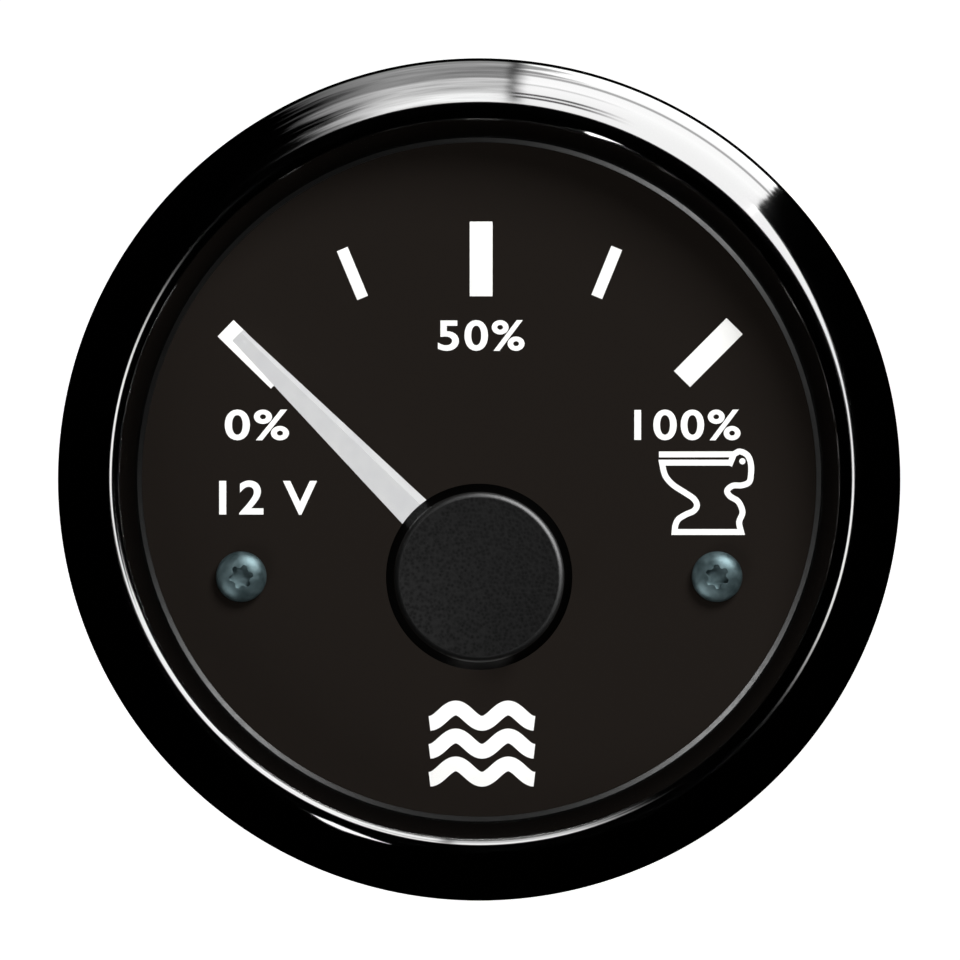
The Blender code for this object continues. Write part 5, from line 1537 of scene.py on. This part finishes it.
def make_room():
    """A pale floor that sweeps up into a pale wall all round, seen by the camera only."""
    floor_up = -0.075
    wall = 2.6
    bend = 0.8
    height = 2.4
    points = [Vector((0, 0, floor_up)), Vector((wall - bend, 0, floor_up))]
    for index in range(1, 9):
        angle = math.radians(-90 + 90 * index / 8)
        points.append(
            Vector((wall - bend + bend * math.cos(angle), 0, floor_up + bend + bend * math.sin(angle)))
        )
    points.append(Vector((wall, 0, height)))
    points.append(Vector((0, 0, height + 0.3)))
    room = path("studio_room", points)
    with editing(room):
        bpy.ops.mesh.select_all(action="SELECT")
        bpy.ops.mesh.spin(steps=64, angle=FULL_TURN, center=(0, 0, 0), axis=(0, 0, 1))
        bpy.ops.mesh.select_all(action="SELECT")
        bpy.ops.mesh.remove_doubles(threshold=WELD)
        bpy.ops.mesh.normals_make_consistent(inside=True)
        bpy.ops.mesh.faces_shade_smooth()
    material = bpy.data.materials.new("studio_pale_paper")
    material.cycles.emission_sampling = "NONE"
    material.use_nodes = True
    tree = material.node_tree
    shader = tree.nodes["Principled BSDF"]
    shader.inputs["Base Color"].default_value = colour("#e8e8e8")
    shader.inputs["Roughness"].default_value = 0.9
    shader.inputs["Emission Color"].default_value = (1, 1, 1, 1)
    shader.inputs["Emission Strength"].default_value = 0.93
    clear = add(tree, "BsdfTransparent")
    back = add(tree, "NewGeometry").outputs["Backfacing"]
    mixed = add(tree, "MixShader", inputs={0: back, 1: shader.outputs[0], 2: clear.outputs[0]})
    tree.links.new(mixed.outputs[0], tree.nodes["Material Output"].inputs["Surface"])
    room.data.materials.append(material)
    room.visible_glossy = False
    room.visible_diffuse = False
    room.visible_transmission = False
    room.visible_shadow = False


def make_world():
    world = bpy.data.worlds.new("studio_air")
    world.use_nodes = True
    world.node_tree.nodes["Background"].inputs["Color"].default_value = (1, 1, 1, 1)
    world.node_tree.nodes["Background"].inputs["Strength"].default_value = 0.12
    bpy.context.scene.world = world
    world.cycles_visibility.glossy = False
    world.cycles_visibility.transmission = False


def make_camera():
    """A long lens straight on, so that the frame takes in 68.4 mm at the bezel's crown."""
    distance = 1.0
    frame_width = 68.37 * MM
    bezel = extent("bezel")
    data = bpy.data.cameras.new("camera")
    data.sensor_width = 36.0
    data.lens = 36.0 * distance / frame_width
    data.clip_start = 0.01
    data.clip_end = 10.0
    camera = bpy.data.objects.new("camera", data)
    camera.location = spot(0.06 * MM, -0.04 * MM, bezel["front"] - CROWN_HEIGHT + distance)
    camera.rotation_euler = (math.pi / 2, 0, 0)
    bpy.context.scene.collection.objects.link(camera)
    bpy.context.scene.camera = camera


def make_studio(gloss_pieces, back_pieces):
    make_camera()
    make_world()
    make_room()
    make_reflection_dome(gloss_pieces[:2])
    make_near_cards(gloss_pieces[:1])
    make_surround(back_pieces)
    mirrors = gloss_pieces[:2]
    cap = bpy.data.objects["pointer_cap_moulded"]
    needle = bpy.data.objects["pointer_sprayed"]
    ring = gloss_pieces[2]
    unlit = gloss_pieces + [cap]
    unshading = gloss_pieces + [needle, cap]
    front = make_area_light("front_lamp", 45, 4, 1.2, 0.5, 5.2, unlit, unshading)
    front.visible_glossy = False
    make_area_light("key_lamp", 58, 48, 0.9, 0.45, 10.0, unlit, unshading)
    make_area_light("fill_lamp", 228, 55, 1.0, 0.5, 3.8, unlit, unshading)
    make_area_light("back_lamp", 110, 140, 0.8, 0.6, 4.0, mirrors, mirrors)
    make_area_light("back_fill_lamp", 330, 135, 0.9, 0.7, 1.6, mirrors, mirrors)

    # The ring's foot alone: it catches the light at three places
    for side, bearing, power in (("upper", 44, 4.2), ("left", 136, 4.4), ("lower", 232, 3.4)):
        lamp = make_area_light("ring_lamp_" + side, bearing, 52, 0.9, 0.25, power, [], unshading)
        light_only(lamp, [ring])

    # The cap alone: an even glow that falls off to the upper right, and a bright line on its edge there
    glow = make_area_light("cap_lamp", 225, 35, 0.03, 0.015, 0.0065, [], unshading)
    glow.visible_glossy = False
    light_only(glow, [cap])
    rim = make_area_light("cap_rim_lamp", 46, 66, 0.3, 0.4, 4.0, [], unshading)
    rim.visible_diffuse = False
    light_only(rim, [cap])
    bpy.context.scene.view_settings.view_transform = "Standard"


def make_front():
    ink = screen_ink()
    bezel = make_bezel(stoved_enamel())
    lens = make_lens(clear_lens())
    ring = make_dial_ring(gloss_moulding(), satin_foot_painted_sheen())
    make_dial_plate(dial_lacquer())
    make_scale(ink)
    make_figure("figure_0_print", "0%", FIGURE_HEIGHT, 4.6 * MM, (-15.9 * MM, 3.9 * MM), ink)
    make_figure("figure_50_print", "50%", FIGURE_HEIGHT, 6.2 * MM, (0.15 * MM, 10.3 * MM), ink)
    make_figure("figure_100_print", "100%", FIGURE_HEIGHT, 7.6 * MM, (14.9 * MM, 3.9 * MM), ink)
    make_figure("supply_print", "12 V", UNIT_HEIGHT, 7.0 * MM, (-15.1 * MM, -1.3 * MM), ink)
    make_toilet_symbol(ink)
    make_wave_symbol(ink)
    make_pointer(needle_paint())
    make_pointer_cap(cap_moulding())
    make_dial_screws(dark_plated_steel())
    return [bezel, lens, ring]


def make_back(front):
    """Everything behind the bezel. Gives back the pieces that the front didn't bring."""
    zinc = zinc_plating()
    rubber = rubber_sheet()
    make_case(case_moulding())
    make_gasket(rubber)
    make_terminals(bar_brass("stamped_sheet_brass", True))
    make_studs(zinc)
    make_jam_nuts(zinc)
    make_strap(zinc)
    make_spring_washers(zinc)
    make_thumb_nuts(bar_brass("turned_bar_brass", False))
    dress(rubber, "lens_seal")
    return [piece for piece in bpy.data.objects if piece.type == "MESH" and piece not in front]


def dress_inside():
    dress(clear_acrylic(), "light_guide")
    dress(board_laminate(), "circuit_board")
    dress(lamp_housing(), "led_upper_left", "led_upper_right", "led_lower_left", "led_lower_right")
    dress(banded_body("dipped_resistor_body", "#c9a878", "#6b2a18", 1.4 * MM), "series_resistor")
    dress(banded_body("moulded_diode_body", "#171717", "#c9c9c6", 5.0 * MM), "zener_diode")
    dress(bar_brass("turned_small_brass", False), "balance_weight", "front_bearing", "rear_bearing")
    dress(drawn_steel(), "spindle", "shield_can")
    dress(sintered_ferrite(), "rotor_magnet")
    dress(natural_nylon(), "bobbin_front", "bobbin_rear")
    dress(wound_copper(), "coil_outer_upper", "coil_outer_lower", "coil_inner_left", "coil_inner_right")


gloss = make_front()
back = make_back([piece for piece in bpy.data.objects if piece.name not in frame["nodes"]])
dress_inside()
make_studio(gloss, back)
